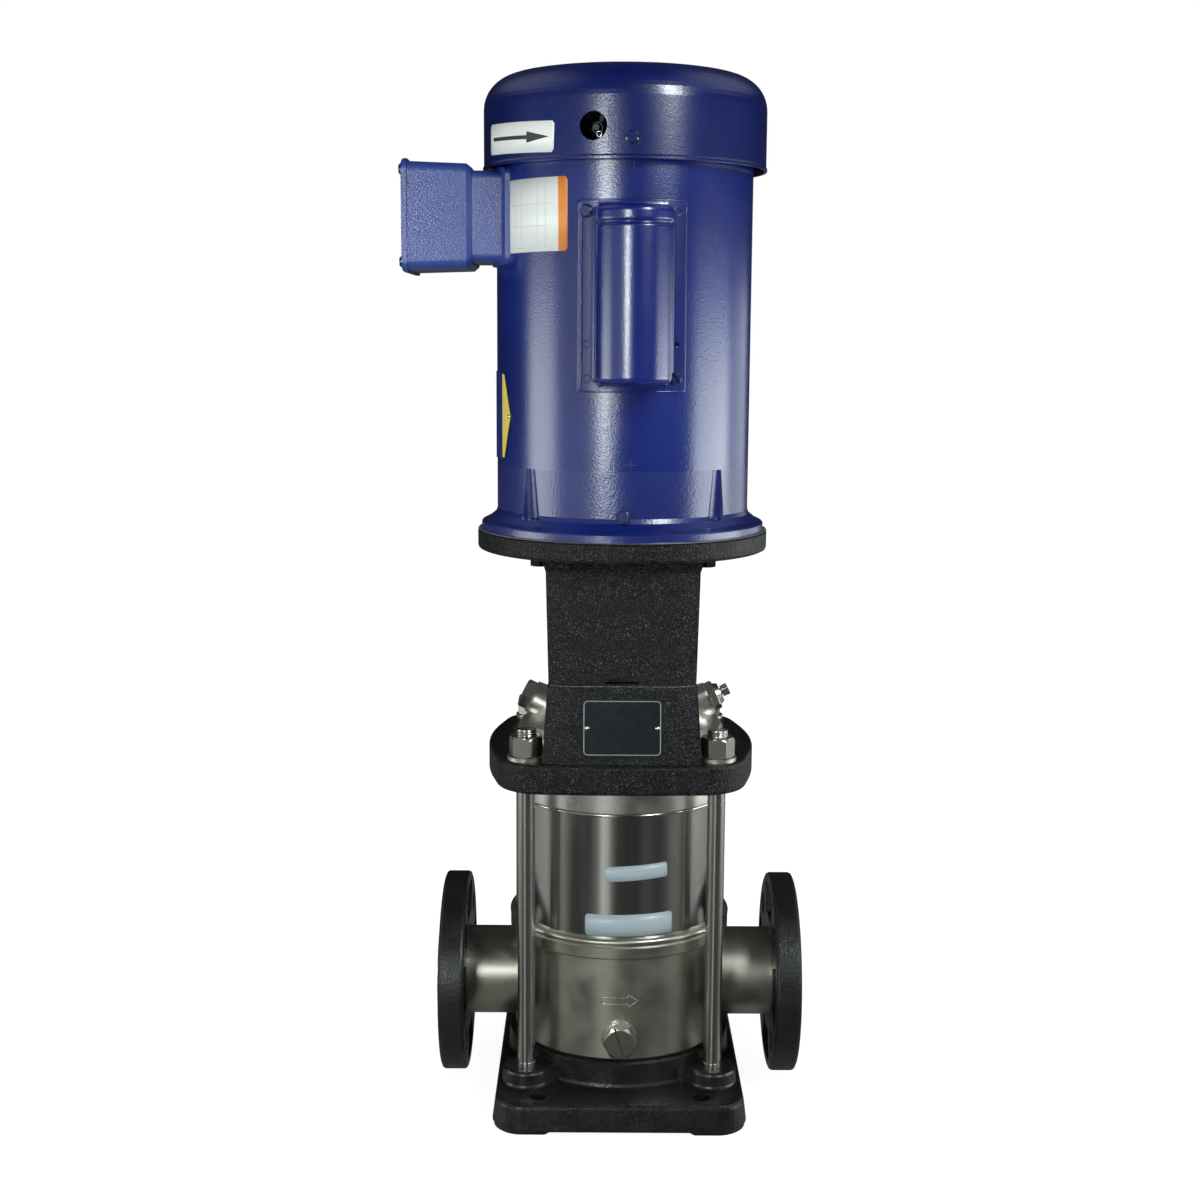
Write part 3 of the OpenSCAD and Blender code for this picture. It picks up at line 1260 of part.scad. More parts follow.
module motor_cover_screws() color([0.14, 0.20, 0.45]) {
    for (a = cover_angles) facing(a) translate([-screw_z, 0, cover_r]) cover_screw(5, 9, 55);
    for (p = cap_screws) facing(p[0]) translate([-p[1], 0, frame_r + cap_t + 0.08])
        cover_screw(4.6, cap_t + frame_wall - 0.2, 40);
    for (sy = [-1, 1], sz = [-1, 1])
        translate([box_x - lid_t, sy * (box_w / 2 - 8), box_z + sz * (box_h / 2 - 6)]) rotate([0, -90, 0]) cover_screw(4.2, 12, 70);
}

module grease_fitting() color([0.70, 0.68, 0.55]) {
    rotate([0, 0, grease_angle]) translate([frame_r - 12, 0, 0]) {
        translate([0, 0, frame_top + 5.5]) cylinder(r = 3, h = 5);
        translate([0, 0, frame_top + 10]) cylinder(r = 5, h = grease_z - frame_top - 5);
        translate([2, 0, grease_z]) rotate([0, 90, 0]) {
            cylinder(r = 4, h = 6);
            translate([0, 0, 5.9]) cylinder(r1 = 3.4, r2 = 2.2, h = 4);
        }
    }
}

module endshield_plug() color([0.11, 0.17, 0.45]) {
    translate([0, -frame_r - 1, stool_top + 19]) rotate([90, 0, 0]) {
        turned_hexagon(8, 3);
        translate([0, 0, -8]) cylinder(r = 3, h = 8.1);
    }
}

// Conduit box
module side_prism(x0, len, w, h, r) {
    translate([x0, 0, box_z]) rotate([90, 0, 90]) linear_extrude(len) round_rect(w, h, r);
}

module conduit_box() color([0.10, 0.15, 0.42]) {
    neck_x = -box_reach;
    neck_end = frame_r * cos(asin((box_neck_w / 2 + 6) / frame_r)) - 3;
    difference() {
        union() {
            hull() {
                side_prism(box_x, 0.1, box_w, box_h, 7, $fn = 32);
                side_prism(neck_x - 4, 0.1, box_w - 2, box_h - 3, 7, $fn = 32);
                side_prism(neck_x - 0.1, 0.1, box_w - 8, box_h - 9, 7, $fn = 32);
            }
            side_prism(neck_x - 1, box_reach - neck_end + 1, box_neck_w, box_neck_h, 6);
            intersection() {
                side_prism(-frame_r - 7, frame_r + 7 - neck_end + 14, box_neck_w + 12, box_neck_h + 5, 6);
                translate([0, 0, box_z - box_h]) ring(frame_r + 3.5, frame_r, 2 * box_h);
            }
        }
        translate([0, 0, box_z - box_h]) cylinder(r = frame_r + 0.05, h = 2 * box_h);
        side_prism(box_x - over, box_len - box_wall + over, box_w - 2 * box_wall, box_h - 2 * box_wall - 4, 5);
        side_prism(neck_x - 8, box_reach, box_neck_w - 10, box_neck_h - 10, 4);
        translate([box_x + box_len / 2, box_w / 2 - 8, box_z]) rotate([-90, 0, 0]) cylinder(r = entry_r, h = 16);
        for (sy = [-1, 1], sz = [-1, 1])
            translate([box_x - over, sy * (box_w / 2 - 8), box_z + sz * (box_h / 2 - 6)]) rotate([0, 90, 0]) cylinder(r = 2.05, h = 10);
    }
}

module conduit_cover() color([0.10, 0.15, 0.42]) {
    difference() {
        union() {
            side_prism(box_x - lid_t + 1.6, lid_t - 1.6, box_w + 3, box_h + 4, 8);
            side_prism(box_x - lid_t + 0.6, lid_t - 1, box_w + 1.6, box_h + 2.6, 7.3);
            side_prism(box_x - lid_t, lid_t - 1, box_w - 1, box_h, 6);
        }
        for (sy = [-1, 1], sz = [-1, 1])
            translate([box_x - lid_t - over, sy * (box_w / 2 - 8), box_z + sz * (box_h / 2 - 6)]) rotate([0, 90, 0]) cylinder(r = 2.2, h = 10);
    }
}

// Capacitor cover: a dome drawn out of a curved flange that hugs the frame.
cap_flange_z = [cap_z - 71, cap_z + 69.5];
cap_holes = [[-68.5, cap_z + 61.5, 2.1], [-68.8, cap_z - 36, 2]];
cap_dimples = [[-106.7, cap_z - 61.5], [-106.7, cap_z - 36]];
cap_screws = [[-106.7, cap_z + 61.5], [-68.5, cap_z - 61.5]];
module dome_plan(inset) {
    crown_r = cap_w / 2 - 3.5 - inset;
    translate([cap_x, -cap_reach + crown_r + inset]) circle(crown_r);
    polygon([[cap_x - cap_w / 2 + inset, -frame_r + 16], [cap_x - cap_w / 2 + inset, -frame_r + 4],
        [cap_x - crown_r - 0.05, -cap_reach + crown_r + inset - 1], [cap_x + crown_r + 0.05, -cap_reach + crown_r + inset - 1],
        [cap_x + cap_w / 2 - inset, -frame_r + 4], [cap_x + cap_w / 2 - inset, -frame_r + 16]]);
}

module dome_side(inset) {
    h = cap_h / 2 - inset;
    r = 7;
    far = -cap_reach + inset;
    rotate([90, 0, 90]) translate([0, 0, cap_x - cap_w]) linear_extrude(2 * cap_w) translate([0, cap_z]) {
        translate([far + r, -h + 1.5]) square([60, 2 * h - 3]);
        translate([far + r, -h]) square([60, 2 * h]);
        translate([far, -h + r]) square([60, 2 * h - 2 * r]);
        for (s = [-1, 1]) translate([far + r, s * (h - r)]) circle(r);
    }
}

module dome_form(inset) {
    intersection() {
        translate([0, 0, cap_z - cap_h / 2 - over]) linear_extrude(cap_h + 2 * over) dome_plan(inset);
        dome_side(inset);
        translate([cap_x, 0, cap_z]) rotate([90, 0, 0]) linear_extrude(2 * cap_reach)
            round_rect(cap_w - 2 * inset + 2, cap_h - 2 * inset + 0.6, 7);
    }
}

// Pressed groove round the front of the dome, near its top.
module dome_groove() {
    crown_r = cap_w / 2 - 3.5;
    intersection() {
        translate([cap_x, -cap_reach + crown_r, cap_z + cap_h / 2 - 12.7]) o_ring(crown_r + 1.2, 2);
        translate([cap_x - cap_w, -cap_reach - 5, cap_z]) cube([2 * cap_w, crown_r + 1, cap_h]);
    }
}

module capacitor_cover() color([0.12, 0.18, 0.48]) {
    flange_a0 = -90 + asin((-35.5) / (frame_r + cap_t));
    flange_a1 = -90 + asin(45 / (frame_r + cap_t));
    difference() {
        union() {
            translate([0, 0, cap_flange_z[0]]) rotate([0, 0, flange_a0])
                rotate_extrude(angle = flange_a1 - flange_a0)
                    translate([frame_r + 0.05, 0]) square([cap_t, cap_flange_z[1] - cap_flange_z[0]]);
            dome_form(0);
        }
        dome_form(cap_t);
        translate([0, 0, cap_z - cap_h]) cylinder(r = frame_r + 0.05, h = 2 * cap_h);
        dome_groove();
        for (p = cap_holes) facing(p[0]) translate([-p[1], 0, frame_r - 5]) cylinder(r = p[2], h = 12);
        for (p = cap_dimples) facing(p[0]) translate([-p[1], 0, frame_r + cap_t - 0.5]) cylinder(r = 2.8, h = 5);
        for (p = cap_screws) facing(p[0]) translate([-p[1], 0, frame_r - 5]) cylinder(r = 2.3, h = 12);
    }
}

module start_capacitor() color([0.10, 0.10, 0.10]) {
    h = cap_h - 24;
    translate([cap_x, -cap_reach + cap_t + capacitor_r + 0.8, cap_z - h / 2]) {
        cylinder(r = capacitor_r, h = h);
        for (s = [-1, 1]) translate([s * 7 - 3, -0.4, h - 0.1]) cube([6, 0.8, 8]);
    }
}

// Curved name plate on the motor's left side
name_z0 = seam_z + 4.8;
name_h = 68.5;
name_a0 = 156;
name_a1 = 211;
name_mid = name_z0 + name_h / 2;
name_rivet_z = [name_mid];
name_rivet_angles = [name_a0 + 2.6, name_a1 - 2.4];
module motor_nameplate() color([0.85, 0.78, 0.35]) {
    tip = frame_r * sin((name_a1 - name_a0) / 2);
    h = name_h / 2;
    intersection() {
        translate([0, 0, name_z0]) rotate([0, 0, name_a0]) rotate_extrude(angle = name_a1 - name_a0)
            translate([frame_r + 0.05, 0]) square([0.7, name_h]);
        rotate([0, 0, (name_a0 + name_a1) / 2]) translate([0, 0, name_mid]) rotate([90, 0, 90]) linear_extrude(2 * frame_r)
            polygon([for (s = [-1, 1], p = [[-tip + 14.5, h + over], [-tip + 11, h - 1.6], [-tip + 8.5, h - 7], [-tip + 0.3, 2.5],
                [-tip + 0.3, -2.5], [-tip + 8.5, 7 - h], [-tip + 11, 1.6 - h], [-tip + 14.5, -h - over]]) [s * p[0], s * p[1]]]);
    }
}

module switch_plate() color([0.30, 0.22, 0.14]) {
    translate([0, 0, fan_bearing_z - 6]) difference() {
        ring(bearing_r + 12, 22, 4);
        for (a = [90, 270]) rotate([0, 0, a]) translate([bearing_r + 5, 0, -over]) cylinder(r = 2, h = 6);
    }
}

base_plate();
base_chamber();
drain_plug();
plug_seals();
suction_flange();
discharge_flange();
outer_sleeve();
sleeve_seals();
pump_head();
fill_plug();
vent_plug();
vent_stem();
vent_stem_ring();
stay_bolts();
stay_washers();
stay_nuts();
motor_stool();
coupling_guards();
guard_screws();
stool_nameplate();
nameplate_rivets();
motor_bolts();
inlet_stage();
stage_bowls();
stage_bearings();
wear_rings();
seal_carrier();
seal_carrier_screws();
seal_seat();
seal_face_ring();
seal_spring();
seal_driver();
impellers();
impeller_spacers();
pump_shaft();
coupling_halves();
coupling_screws();
coupling_pin();
motor_shaft();
rotor_core();
cooling_fan();
motor_bearings();
stator_core();
stator_windings();
motor_frame();
drive_endshield();
fan_endshield();
through_bolts();
fan_cover();
motor_cover_screws();
grease_fitting();
endshield_plug();
conduit_box();
conduit_cover();
capacitor_cover();
start_capacitor();
motor_nameplate();
switch_collar();
governor();
switch_plate();
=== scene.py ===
"""Looks of the vertical booster pump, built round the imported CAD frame."""
import math
import random

import bpy
from mathutils import Matrix, Vector


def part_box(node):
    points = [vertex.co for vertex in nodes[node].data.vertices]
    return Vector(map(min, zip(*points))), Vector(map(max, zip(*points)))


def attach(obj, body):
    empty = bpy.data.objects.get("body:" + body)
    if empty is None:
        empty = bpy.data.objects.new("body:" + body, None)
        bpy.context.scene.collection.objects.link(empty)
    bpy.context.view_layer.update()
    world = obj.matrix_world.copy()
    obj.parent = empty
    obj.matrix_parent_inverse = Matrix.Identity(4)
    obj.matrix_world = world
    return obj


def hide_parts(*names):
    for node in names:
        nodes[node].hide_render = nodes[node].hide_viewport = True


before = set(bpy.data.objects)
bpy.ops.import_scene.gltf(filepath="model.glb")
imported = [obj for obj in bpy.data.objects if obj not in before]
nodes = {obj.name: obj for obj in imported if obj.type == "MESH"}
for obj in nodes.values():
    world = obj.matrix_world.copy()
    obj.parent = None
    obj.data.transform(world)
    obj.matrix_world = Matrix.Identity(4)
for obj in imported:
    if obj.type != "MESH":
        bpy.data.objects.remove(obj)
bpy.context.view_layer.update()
ROOT = "frame"
MM = 0.001

# Sizes taken over from the CAD source, in millimetres.
FRAME_R = 101.6
CHAMBER_R = 87.5
SLEEVE_R = 87.0
COVER_R = 111.5
STAY = 75.5
STUD_R = 7.85
NUT_TOP = 309.0
STUD_TOP = 317.5

# Capacitor cover: middle, reach in front of the axis, flange edges, and its round ends and crown.
CAP_X = 5.6
CAP_REACH = 141.5
CAP_Z = 653.2
CAP_LONG = 129.0
CAP_SHEET = 1.4
CAP_LEFT = -35.5
CAP_RIGHT = 45.0
CAP_LOW = CAP_Z - 71.0
CAP_HIGH = CAP_Z + 69.5
CAP_HALF = 28.5
CAP_CROWN = 31.0
CAP_CORNER = 14.0
CAP_CORNER_X = 14.5
CAP_END = 4.5

# Holes, dimples and screws: azimuth in degrees from the front and height.
CAP_HOLE = (21.9, CAP_Z - 36)
CAP_DIMPLES = [(-16.2, CAP_Z - 61.5), (-16.2, CAP_Z - 36), (21.7, CAP_Z + 61.5)]
CAP_SCREWS = [(-16.7, CAP_Z + 61.5), (21.5, CAP_Z - 61.5)]
COVER_SCREW_X = 4.7
COVER_SCREW_Z = 765.9

# Stool: dark sheets inside its slots as painted shade, and the height of the edge between its neck and its
# foot, which carries a painted highlight.
SHADE_SHEET_Y = 78.9
SHADE_SHEET_HALF = 16.5
SHADE_SHEET_LOW = 352.5
SHADE_SHEET_HIGH = 364.5
SHADE_SHEET_THICK = 0.8
WAIST_Z = 354.2

# Labels: radius, arc from the front, height of the middle, and tilt in degrees.
DIRECTION_SPOT = (COVER_R, -COVER_R * math.radians(48.45), 769.5, -2.1)
WIRING_SPOT = (FRAME_R, -FRAME_R * math.radians(43.35), 713.0, 0.5)
UPPER_SPOT = (SLEEVE_R, 12.9, 203.0, 3.2)
LOWER_SPOT = (SLEEVE_R, 7.2, 159.6, 0.8)
PRINT_LIFT = 0.16

CAMERA_PLACE = (-0.01955, -1.38577, 0.62495)
CAMERA_LENS = 51.08
LAMP_TINT = (0.93, 1.0, 0.99)
WHITE = (1, 1, 1, 1)


# Camera, fitted to the photograph
def aim_camera():
    pan = math.radians(0.0743)
    tilt = math.radians(8.8847)
    roll = math.radians(0.3424)
    level = Vector((math.sin(pan), math.cos(pan), 0))
    side = Vector((math.cos(pan), -math.sin(pan), 0))
    upright = Vector((0, 0, 1))
    ahead = level * math.cos(tilt) - upright * math.sin(tilt)
    over = upright * math.cos(tilt) + level * math.sin(tilt)
    right = side * math.cos(roll) + over * math.sin(roll)
    top = over * math.cos(roll) - side * math.sin(roll)
    data = bpy.data.cameras.new("photo_camera")
    data.lens = CAMERA_LENS
    data.sensor_width = 36
    data.clip_end = 100
    camera = bpy.data.objects.new("photo_camera", data)
    turn = Matrix((right, top, -ahead)).transposed().to_4x4()
    camera.matrix_world = Matrix.Translation(CAMERA_PLACE) @ turn
    bpy.context.scene.collection.objects.link(camera)
    bpy.context.scene.camera = camera


# Lamps, world and floor
def lamp(name, azimuth, elevation, distance, width, height, power, aim_z, glossy=True):
    """A soft rectangular lamp. Azimuth 0 stands at the front, positive towards +X."""
    data = bpy.data.lights.new(name, "AREA")
    data.shape = "RECTANGLE"
    data.size = width
    data.size_y = height
    data.energy = power
    data.color = LAMP_TINT
    lamp_object = bpy.data.objects.new(name, data)
    a = math.radians(azimuth)
    e = math.radians(elevation)
    aim = Vector((0, 0, aim_z))
    away = Vector((math.sin(a) * math.cos(e), -math.cos(a) * math.cos(e), math.sin(e)))
    place = aim + distance * away
    lamp_object.location = place
    lamp_object.visible_camera = False
    lamp_object.visible_glossy = glossy
    lamp_object.rotation_euler = (place - aim).to_track_quat("Z", "Y").to_euler()
    bpy.context.scene.collection.objects.link(lamp_object)


# Levels that metal and gloss paint reflect: azimuth in degrees from the front, and level.
LOW_BANDS = [(-90, 0.36), (-84, 0.36), (-81, 0.05), (-77, 0.06), (-72, 0.30), (-64, 0.26), (-57, 0.05),
             (-28, 0.04), (-24, 0.10), (-20, 0.80), (-14, 0.70), (-9, 0.05), (8, 0.03), (20, 0.035),
             (27, 0.09), (33, 0.07), (40, 0.035), (50, 0.06), (58, 0.18), (67, 0.16), (74, 0.06),
             (82, 0.32), (98, 0.36), (125, 0.24), (170, 0.14), (220, 0.14), (250, 0.30), (270, 0.36)]
HIGH_BANDS = [(-90, 0.55), (-60, 0.30), (-40, 0.05), (0, 0.03), (45, 0.05), (65, 0.30), (95, 0.60),
              (125, 0.40), (150, 0.03), (210, 0.03), (240, 0.40), (270, 0.55)]


def mix_colors(tree, fac, a, b):
    """Mixes colour a with colour b. Each value is a socket or a plain value."""
    mixed = tree.nodes.new("ShaderNodeMix")
    mixed.data_type = "RGBA"
    for name, kind, value in (("A", "RGBA", a), ("B", "RGBA", b), ("Factor", "VALUE", fac)):
        socket = next(s for s in mixed.inputs if s.name == name and s.type == kind)
        if isinstance(value, bpy.types.NodeSocket):
            tree.links.new(value, socket)
        else:
            socket.default_value = (*value[:3], 1) if kind == "RGBA" else value
    return next(s for s in mixed.outputs if s.type == "RGBA")


def mix_shaders(tree, fac, first, second):
    mixed = tree.nodes.new("ShaderNodeMixShader")
    for socket, source in zip(mixed.inputs, (fac, first, second)):
        tree.links.new(source, socket)
    return mixed.outputs["Shader"]


def glow(tree, kind, strength, color=WHITE):
    """A background or an emission of one strength."""
    made = tree.nodes.new(kind)
    made.inputs["Strength"].default_value = strength
    if isinstance(color, bpy.types.NodeSocket):
        tree.links.new(color, made.inputs["Color"])
    else:
        made.inputs["Color"].default_value = color
    return made.outputs[0]


def band_ramp(tree, source, bands):
    """Colour ramp over the radial gradient, whose 0 lies at azimuth -90 and 1 at 270."""
    ramp = tree.nodes.new("ShaderNodeValToRGB")
    ramp.color_ramp.interpolation = "LINEAR"
    while len(ramp.color_ramp.elements) < len(bands):
        ramp.color_ramp.elements.new(0.5)
    for element, (azimuth, level) in zip(ramp.color_ramp.elements, bands):
        element.position = (azimuth + 90) / 360
        element.color = (level * 0.975, level, level * 0.955, 1)
    tree.links.new(source, ramp.inputs["Fac"])
    return ramp.outputs["Color"]


def build_world():
    """White for the camera, bands of light for metal and gloss, and plain light for the rest."""
    world = bpy.data.worlds.new("studio")
    bpy.context.scene.world = world
    world.use_nodes = True
    tree = world.node_tree
    tree.nodes.clear()
    path = tree.nodes.new("ShaderNodeLightPath")
    coord = tree.nodes.new("ShaderNodeTexCoord")
    radial = tree.nodes.new("ShaderNodeTexGradient")
    radial.gradient_type = "RADIAL"
    tree.links.new(coord.outputs["Generated"], radial.inputs["Vector"])
    split = tree.nodes.new("ShaderNodeSeparateXYZ")
    tree.links.new(coord.outputs["Generated"], split.inputs["Vector"])
    dark = (0.012, 0.012, 0.012, 1)
    high = band_ramp(tree, radial.outputs["Fac"], HIGH_BANDS)
    bands = band_ramp(tree, radial.outputs["Fac"], LOW_BANDS)
    for color, lowest, highest in ((dark, -0.20, -0.07), (high, 0.30, 0.50), (dark, 0.80, 0.95)):
        rise = tree.nodes.new("ShaderNodeMapRange")
        rise.inputs["From Min"].default_value = lowest
        rise.inputs["From Max"].default_value = highest
        tree.links.new(split.outputs["Z"], rise.inputs["Value"])
        bands = mix_colors(tree, rise.outputs["Result"], bands, color)
    plain = glow(tree, "ShaderNodeBackground", 0.6)
    gloss = glow(tree, "ShaderNodeBackground", 1.0, bands)
    white = glow(tree, "ShaderNodeBackground", 1.0)
    lighting = mix_shaders(tree, path.outputs["Is Glossy Ray"], plain, gloss)
    seen = mix_shaders(tree, path.outputs["Is Camera Ray"], lighting, white)
    out = tree.nodes.new("ShaderNodeOutputWorld")
    tree.links.new(seen, out.inputs["Surface"])


def build_floor():
    """Plain pale floor, which glows for the camera alone so that it meets the white background."""
    half = 12
    glow_level = 1.18
    glow_share = 0.78
    mesh = bpy.data.meshes.new("floor")
    corners = [(-half, -half, 0), (half, -half, 0), (half, half, 0), (-half, half, 0)]
    mesh.from_pydata(corners, [], [(0, 1, 2, 3)])
    floor = bpy.data.objects.new("floor", mesh)
    bpy.context.scene.collection.objects.link(floor)
    skin = bpy.data.materials.new("floor_white")
    skin.use_nodes = True
    tree = skin.node_tree
    bsdf = tree.nodes["Principled BSDF"]
    bsdf.inputs["Base Color"].default_value = (0.8, 0.8, 0.8, 1)
    bsdf.inputs["Roughness"].default_value = 0.9
    share = tree.nodes.new("ShaderNodeMath")
    share.operation = "MULTIPLY"
    share.inputs[1].default_value = glow_share
    path = tree.nodes.new("ShaderNodeLightPath")
    tree.links.new(path.outputs["Is Camera Ray"], share.inputs[0])
    shine = glow(tree, "ShaderNodeEmission", glow_level)
    surface = mix_shaders(tree, share.outputs["Value"], bsdf.outputs["BSDF"], shine)
    tree.links.new(surface, tree.nodes["Material Output"].inputs["Surface"])
    mesh.materials.append(skin)
    floor.visible_glossy = False


def build_studio():
    lamp("strip_front", -17, 0, 2.2, 0.36, 0.32, 3.9, 0.44)
    lamp("strip_front_middle", -17, 0, 2.2, 0.36, 0.18, 5.2, 0.69)
    lamp("strip_front_top", -17, 0, 2.2, 0.32, 0.16, 5.6, 0.855)
    lamp("soft_right", 85, 0, 1.8, 1.40, 0.62, 15.5, 0.31)
    lamp("soft_right_rear", 126, 0, 1.8, 1.0, 0.70, 2.6, 0.35)
    lamp("soft_left", -77, 0, 2.0, 1.05, 0.70, 11, 0.35)
    lamp("fill_left", -42, 0, 2.2, 1.3, 0.9, 2.6, 0.45)
    lamp("fill_high", 32, 0, 2.2, 1.0, 0.45, 0.8, 1.10)
    lamp("key_high", 36, 21, 2.2, 0.44, 0.70, 30, 0.80)
    lamp("back_right", 152, 0, 2.2, 0.9, 0.8, 8, 0.40, glossy=False)
    lamp("back_left", -142, 0, 2.2, 0.9, 0.8, 5, 0.40, glossy=False)
    build_world()
    build_floor()
    bpy.context.scene.view_settings.view_transform = "Standard"


# Materials
class Finish:
    """A node material on a Principled shader, in object coordinates (metres)."""

    def __init__(self, name, roughness=0.4, metallic=0.0, coat=0.0, coat_roughness=0.1, specular=0.5):
        self.material = bpy.data.materials.new(name)
        self.material.use_nodes = True
        self.tree = self.material.node_tree
        self.bsdf = self.tree.nodes["Principled BSDF"]
        self.bsdf.inputs["Roughness"].default_value = roughness
        self.bsdf.inputs["Metallic"].default_value = metallic
        self.bsdf.inputs["Coat Weight"].default_value = coat
        self.bsdf.inputs["Coat Roughness"].default_value = coat_roughness
        self.bsdf.inputs["Specular IOR Level"].default_value = specular
        self.coord = self.tree.nodes.new("ShaderNodeTexCoord")
        self.normal = None

    def link(self, source, target):
        self.tree.links.new(source, target)

    def node(self, kind, **values):
        made = self.tree.nodes.new(kind)
        for key, value in values.items():
            setattr(made, key, value)
        return made

    def mapped(self, vector, stretch):
        mapping = self.node("ShaderNodeMapping")
        mapping.inputs["Scale"].default_value = stretch
        self.link(vector, mapping.inputs["Vector"])
        return mapping.outputs["Vector"]

    def axes(self):
        """The object coordinates x, y and z."""
        split = self.node("ShaderNodeSeparateXYZ")
        self.link(self.coord.outputs["Object"], split.inputs["Vector"])
        return split.outputs["X"], split.outputs["Y"], split.outputs["Z"]

    def around(self, radius):
        """Coordinates unrolled round the upright axis: arc length in x and height in z."""
        x, y, z = self.axes()
        joined = self.node("ShaderNodeCombineXYZ")
        self.link(self.times(self.math("ARCTAN2", x, y), radius), joined.inputs["X"])
        self.link(z, joined.inputs["Z"])
        return joined.outputs["Vector"]

    def noise(self, scale, detail=2.0, rough=0.5, vector=None, stretch=None):
        texture = self.node("ShaderNodeTexNoise")
        texture.inputs["Scale"].default_value = scale
        texture.inputs["Detail"].default_value = detail
        texture.inputs["Roughness"].default_value = rough
        if vector is None:
            vector = self.mapped(self.coord.outputs["Object"], stretch or (1, 1, 1))
        elif stretch is not None:
            vector = self.mapped(vector, stretch)
        self.link(vector, texture.inputs["Vector"])
        return texture.outputs["Fac"]

    def spread(self, fac, low, high, to_low=0.0, to_high=1.0):
        """Stretches the values between low and high over to_low to to_high."""
        ranged = self.node("ShaderNodeMapRange")
        ranged.inputs["From Min"].default_value = low
        ranged.inputs["From Max"].default_value = high
        ranged.inputs["To Min"].default_value = to_low
        ranged.inputs["To Max"].default_value = to_high
        self.link(fac, ranged.inputs["Value"])
        return ranged.outputs["Result"]

    def math(self, operation, a, b):
        step = self.node("ShaderNodeMath", operation=operation)
        for socket, value in zip(step.inputs, (a, b)):
            if isinstance(value, (int, float)):
                socket.default_value = value
            else:
                self.link(value, socket)
        return step.outputs["Value"]

    def times(self, a, b):
        return self.math("MULTIPLY", a, b)

    def blend(self, fac, a, b):
        return mix_colors(self.tree, fac, a, b)

    def color(self, source):
        self.link(source, self.bsdf.inputs["Base Color"])

    def roughness(self, source):
        self.link(source, self.bsdf.inputs["Roughness"])

    def bump(self, height, strength, distance):
        made = self.node("ShaderNodeBump")
        made.inputs["Strength"].default_value = strength
        made.inputs["Distance"].default_value = distance
        self.link(height, made.inputs["Height"])
        if self.normal is not None:
            self.link(self.normal, made.inputs["Normal"])
        self.normal = made.outputs["Normal"]
        self.link(self.normal, self.bsdf.inputs["Normal"])
        self.link(self.normal, self.bsdf.inputs["Coat Normal"])


def scaled(color, factor):
    return tuple(c * factor for c in color)


def blue_paint(name, grain=620, depth=0.00022, roughness=0.24, deep=(0.0002, 0.0035, 0.074),
               pale=(0.0005, 0.0090, 0.112)):
    """Blue paint over a fine grain, with a slow change between a deep and a pale tone."""
    made = Finish(name, roughness=roughness, coat=0.6, coat_roughness=0.20, specular=0.6)
    cloud = made.spread(made.noise(9, 3, 0.55), 0.35, 0.68)
    speck = made.spread(made.noise(grain * 2.2, 1, 0.5), 0.35, 0.7)
    body = made.blend(cloud, deep, pale)
    made.color(made.blend(made.times(speck, 0.35), body, (0.003, 0.020, 0.16)))
    made.roughness(made.spread(made.noise(26, 4, 0.6), 0.2, 0.8, roughness - 0.02, roughness + 0.04))
    made.bump(made.noise(grain, 2, 0.55), 0.50, depth)
    made.bump(made.noise(grain * 0.22, 2, 0.5), 0.12, depth)
    return made.material


def cast_paint(name, grain=430, depth=0.0011, strength=0.85, roughness=0.36,
               base=(0.0010, 0.0010, 0.0011), glint_share=0.5, coat=0.0, specular=0.22):
    """Black paint over sand-cast iron: a grained skin, with painted glints as fine bright specks in its
    colour.
    """
    made = Finish(name, roughness=roughness, coat=coat, coat_roughness=0.25, specular=specular)
    grainy = made.noise(grain, 3, 0.62)
    dust = made.spread(made.noise(34, 4, 0.6), 0.5, 0.78)
    light = made.blend(made.times(dust, 0.3), base, (0.008, 0.008, 0.0085))
    # Painted glints: fine bright specks in the colour, standing in for the highlights that glint off the
    # grain.
    painted_glint = made.spread(made.noise(1180, 2, 0.6), 0.59, 0.69)
    made.color(made.blend(made.times(painted_glint, glint_share), light, (0.16, 0.16, 0.165)))
    made.roughness(made.spread(made.noise(60, 3, 0.5), 0.3, 0.7, roughness - 0.06, roughness + 0.12))
    made.bump(grainy, strength, depth)
    made.bump(made.noise(grain * 0.16, 3, 0.55), 0.3, depth * 2.2)
    return made.material


def satin_steel(name, base=(0.475, 0.455, 0.395), roughness=0.34, stain=0.35):
    """Satin sheet steel with faint lines round the upright axis and warm stains."""
    made = Finish(name, roughness=roughness, metallic=1.0)
    vector = made.around(0.088)
    streak = (0.05, 1, 1)
    stained = tuple(c * f for c, f in zip(base, (0.72, 0.69, 0.62)))
    cloud = made.spread(made.noise(13, 4, 0.62), 0.42, 0.7)
    patch = made.blend(made.times(cloud, stain), base, stained)
    fine = made.spread(made.noise(260, 3, 0.6, vector=vector, stretch=streak), 0.3, 0.7)
    made.color(made.blend(made.times(fine, 0.4), patch, scaled(base, 1.18)))
    made.roughness(made.spread(made.noise(32, 4, 0.6), 0.32, 0.7, roughness - 0.06, roughness + 0.1))
    made.bump(made.noise(420, 3, 0.65, vector=vector, stretch=streak), 0.22, 0.00009)
    made.bump(made.noise(55, 3, 0.6), 0.12, 0.0004)
    return made.material


def plain_metal(name, base, roughness, grain=700, depth=0.00006, stretch=(1, 1, 1), stain=0.3,
                cloud_scale=70, strength=0.25, vary=0.05):
    """Bare metal; vary is how far its roughness wanders."""
    made = Finish(name, roughness=roughness, metallic=1.0)
    cloud = made.spread(made.noise(cloud_scale, 3, 0.6), 0.4, 0.72)
    made.color(made.blend(made.times(cloud, stain), base, scaled(base, 0.62)))
    made.roughness(made.spread(made.noise(150, 3, 0.6), 0.3, 0.7, roughness - vary, roughness + vary * 1.4))
    made.bump(made.noise(grain, 3, 0.6, stretch=stretch), strength, depth)
    return made.material


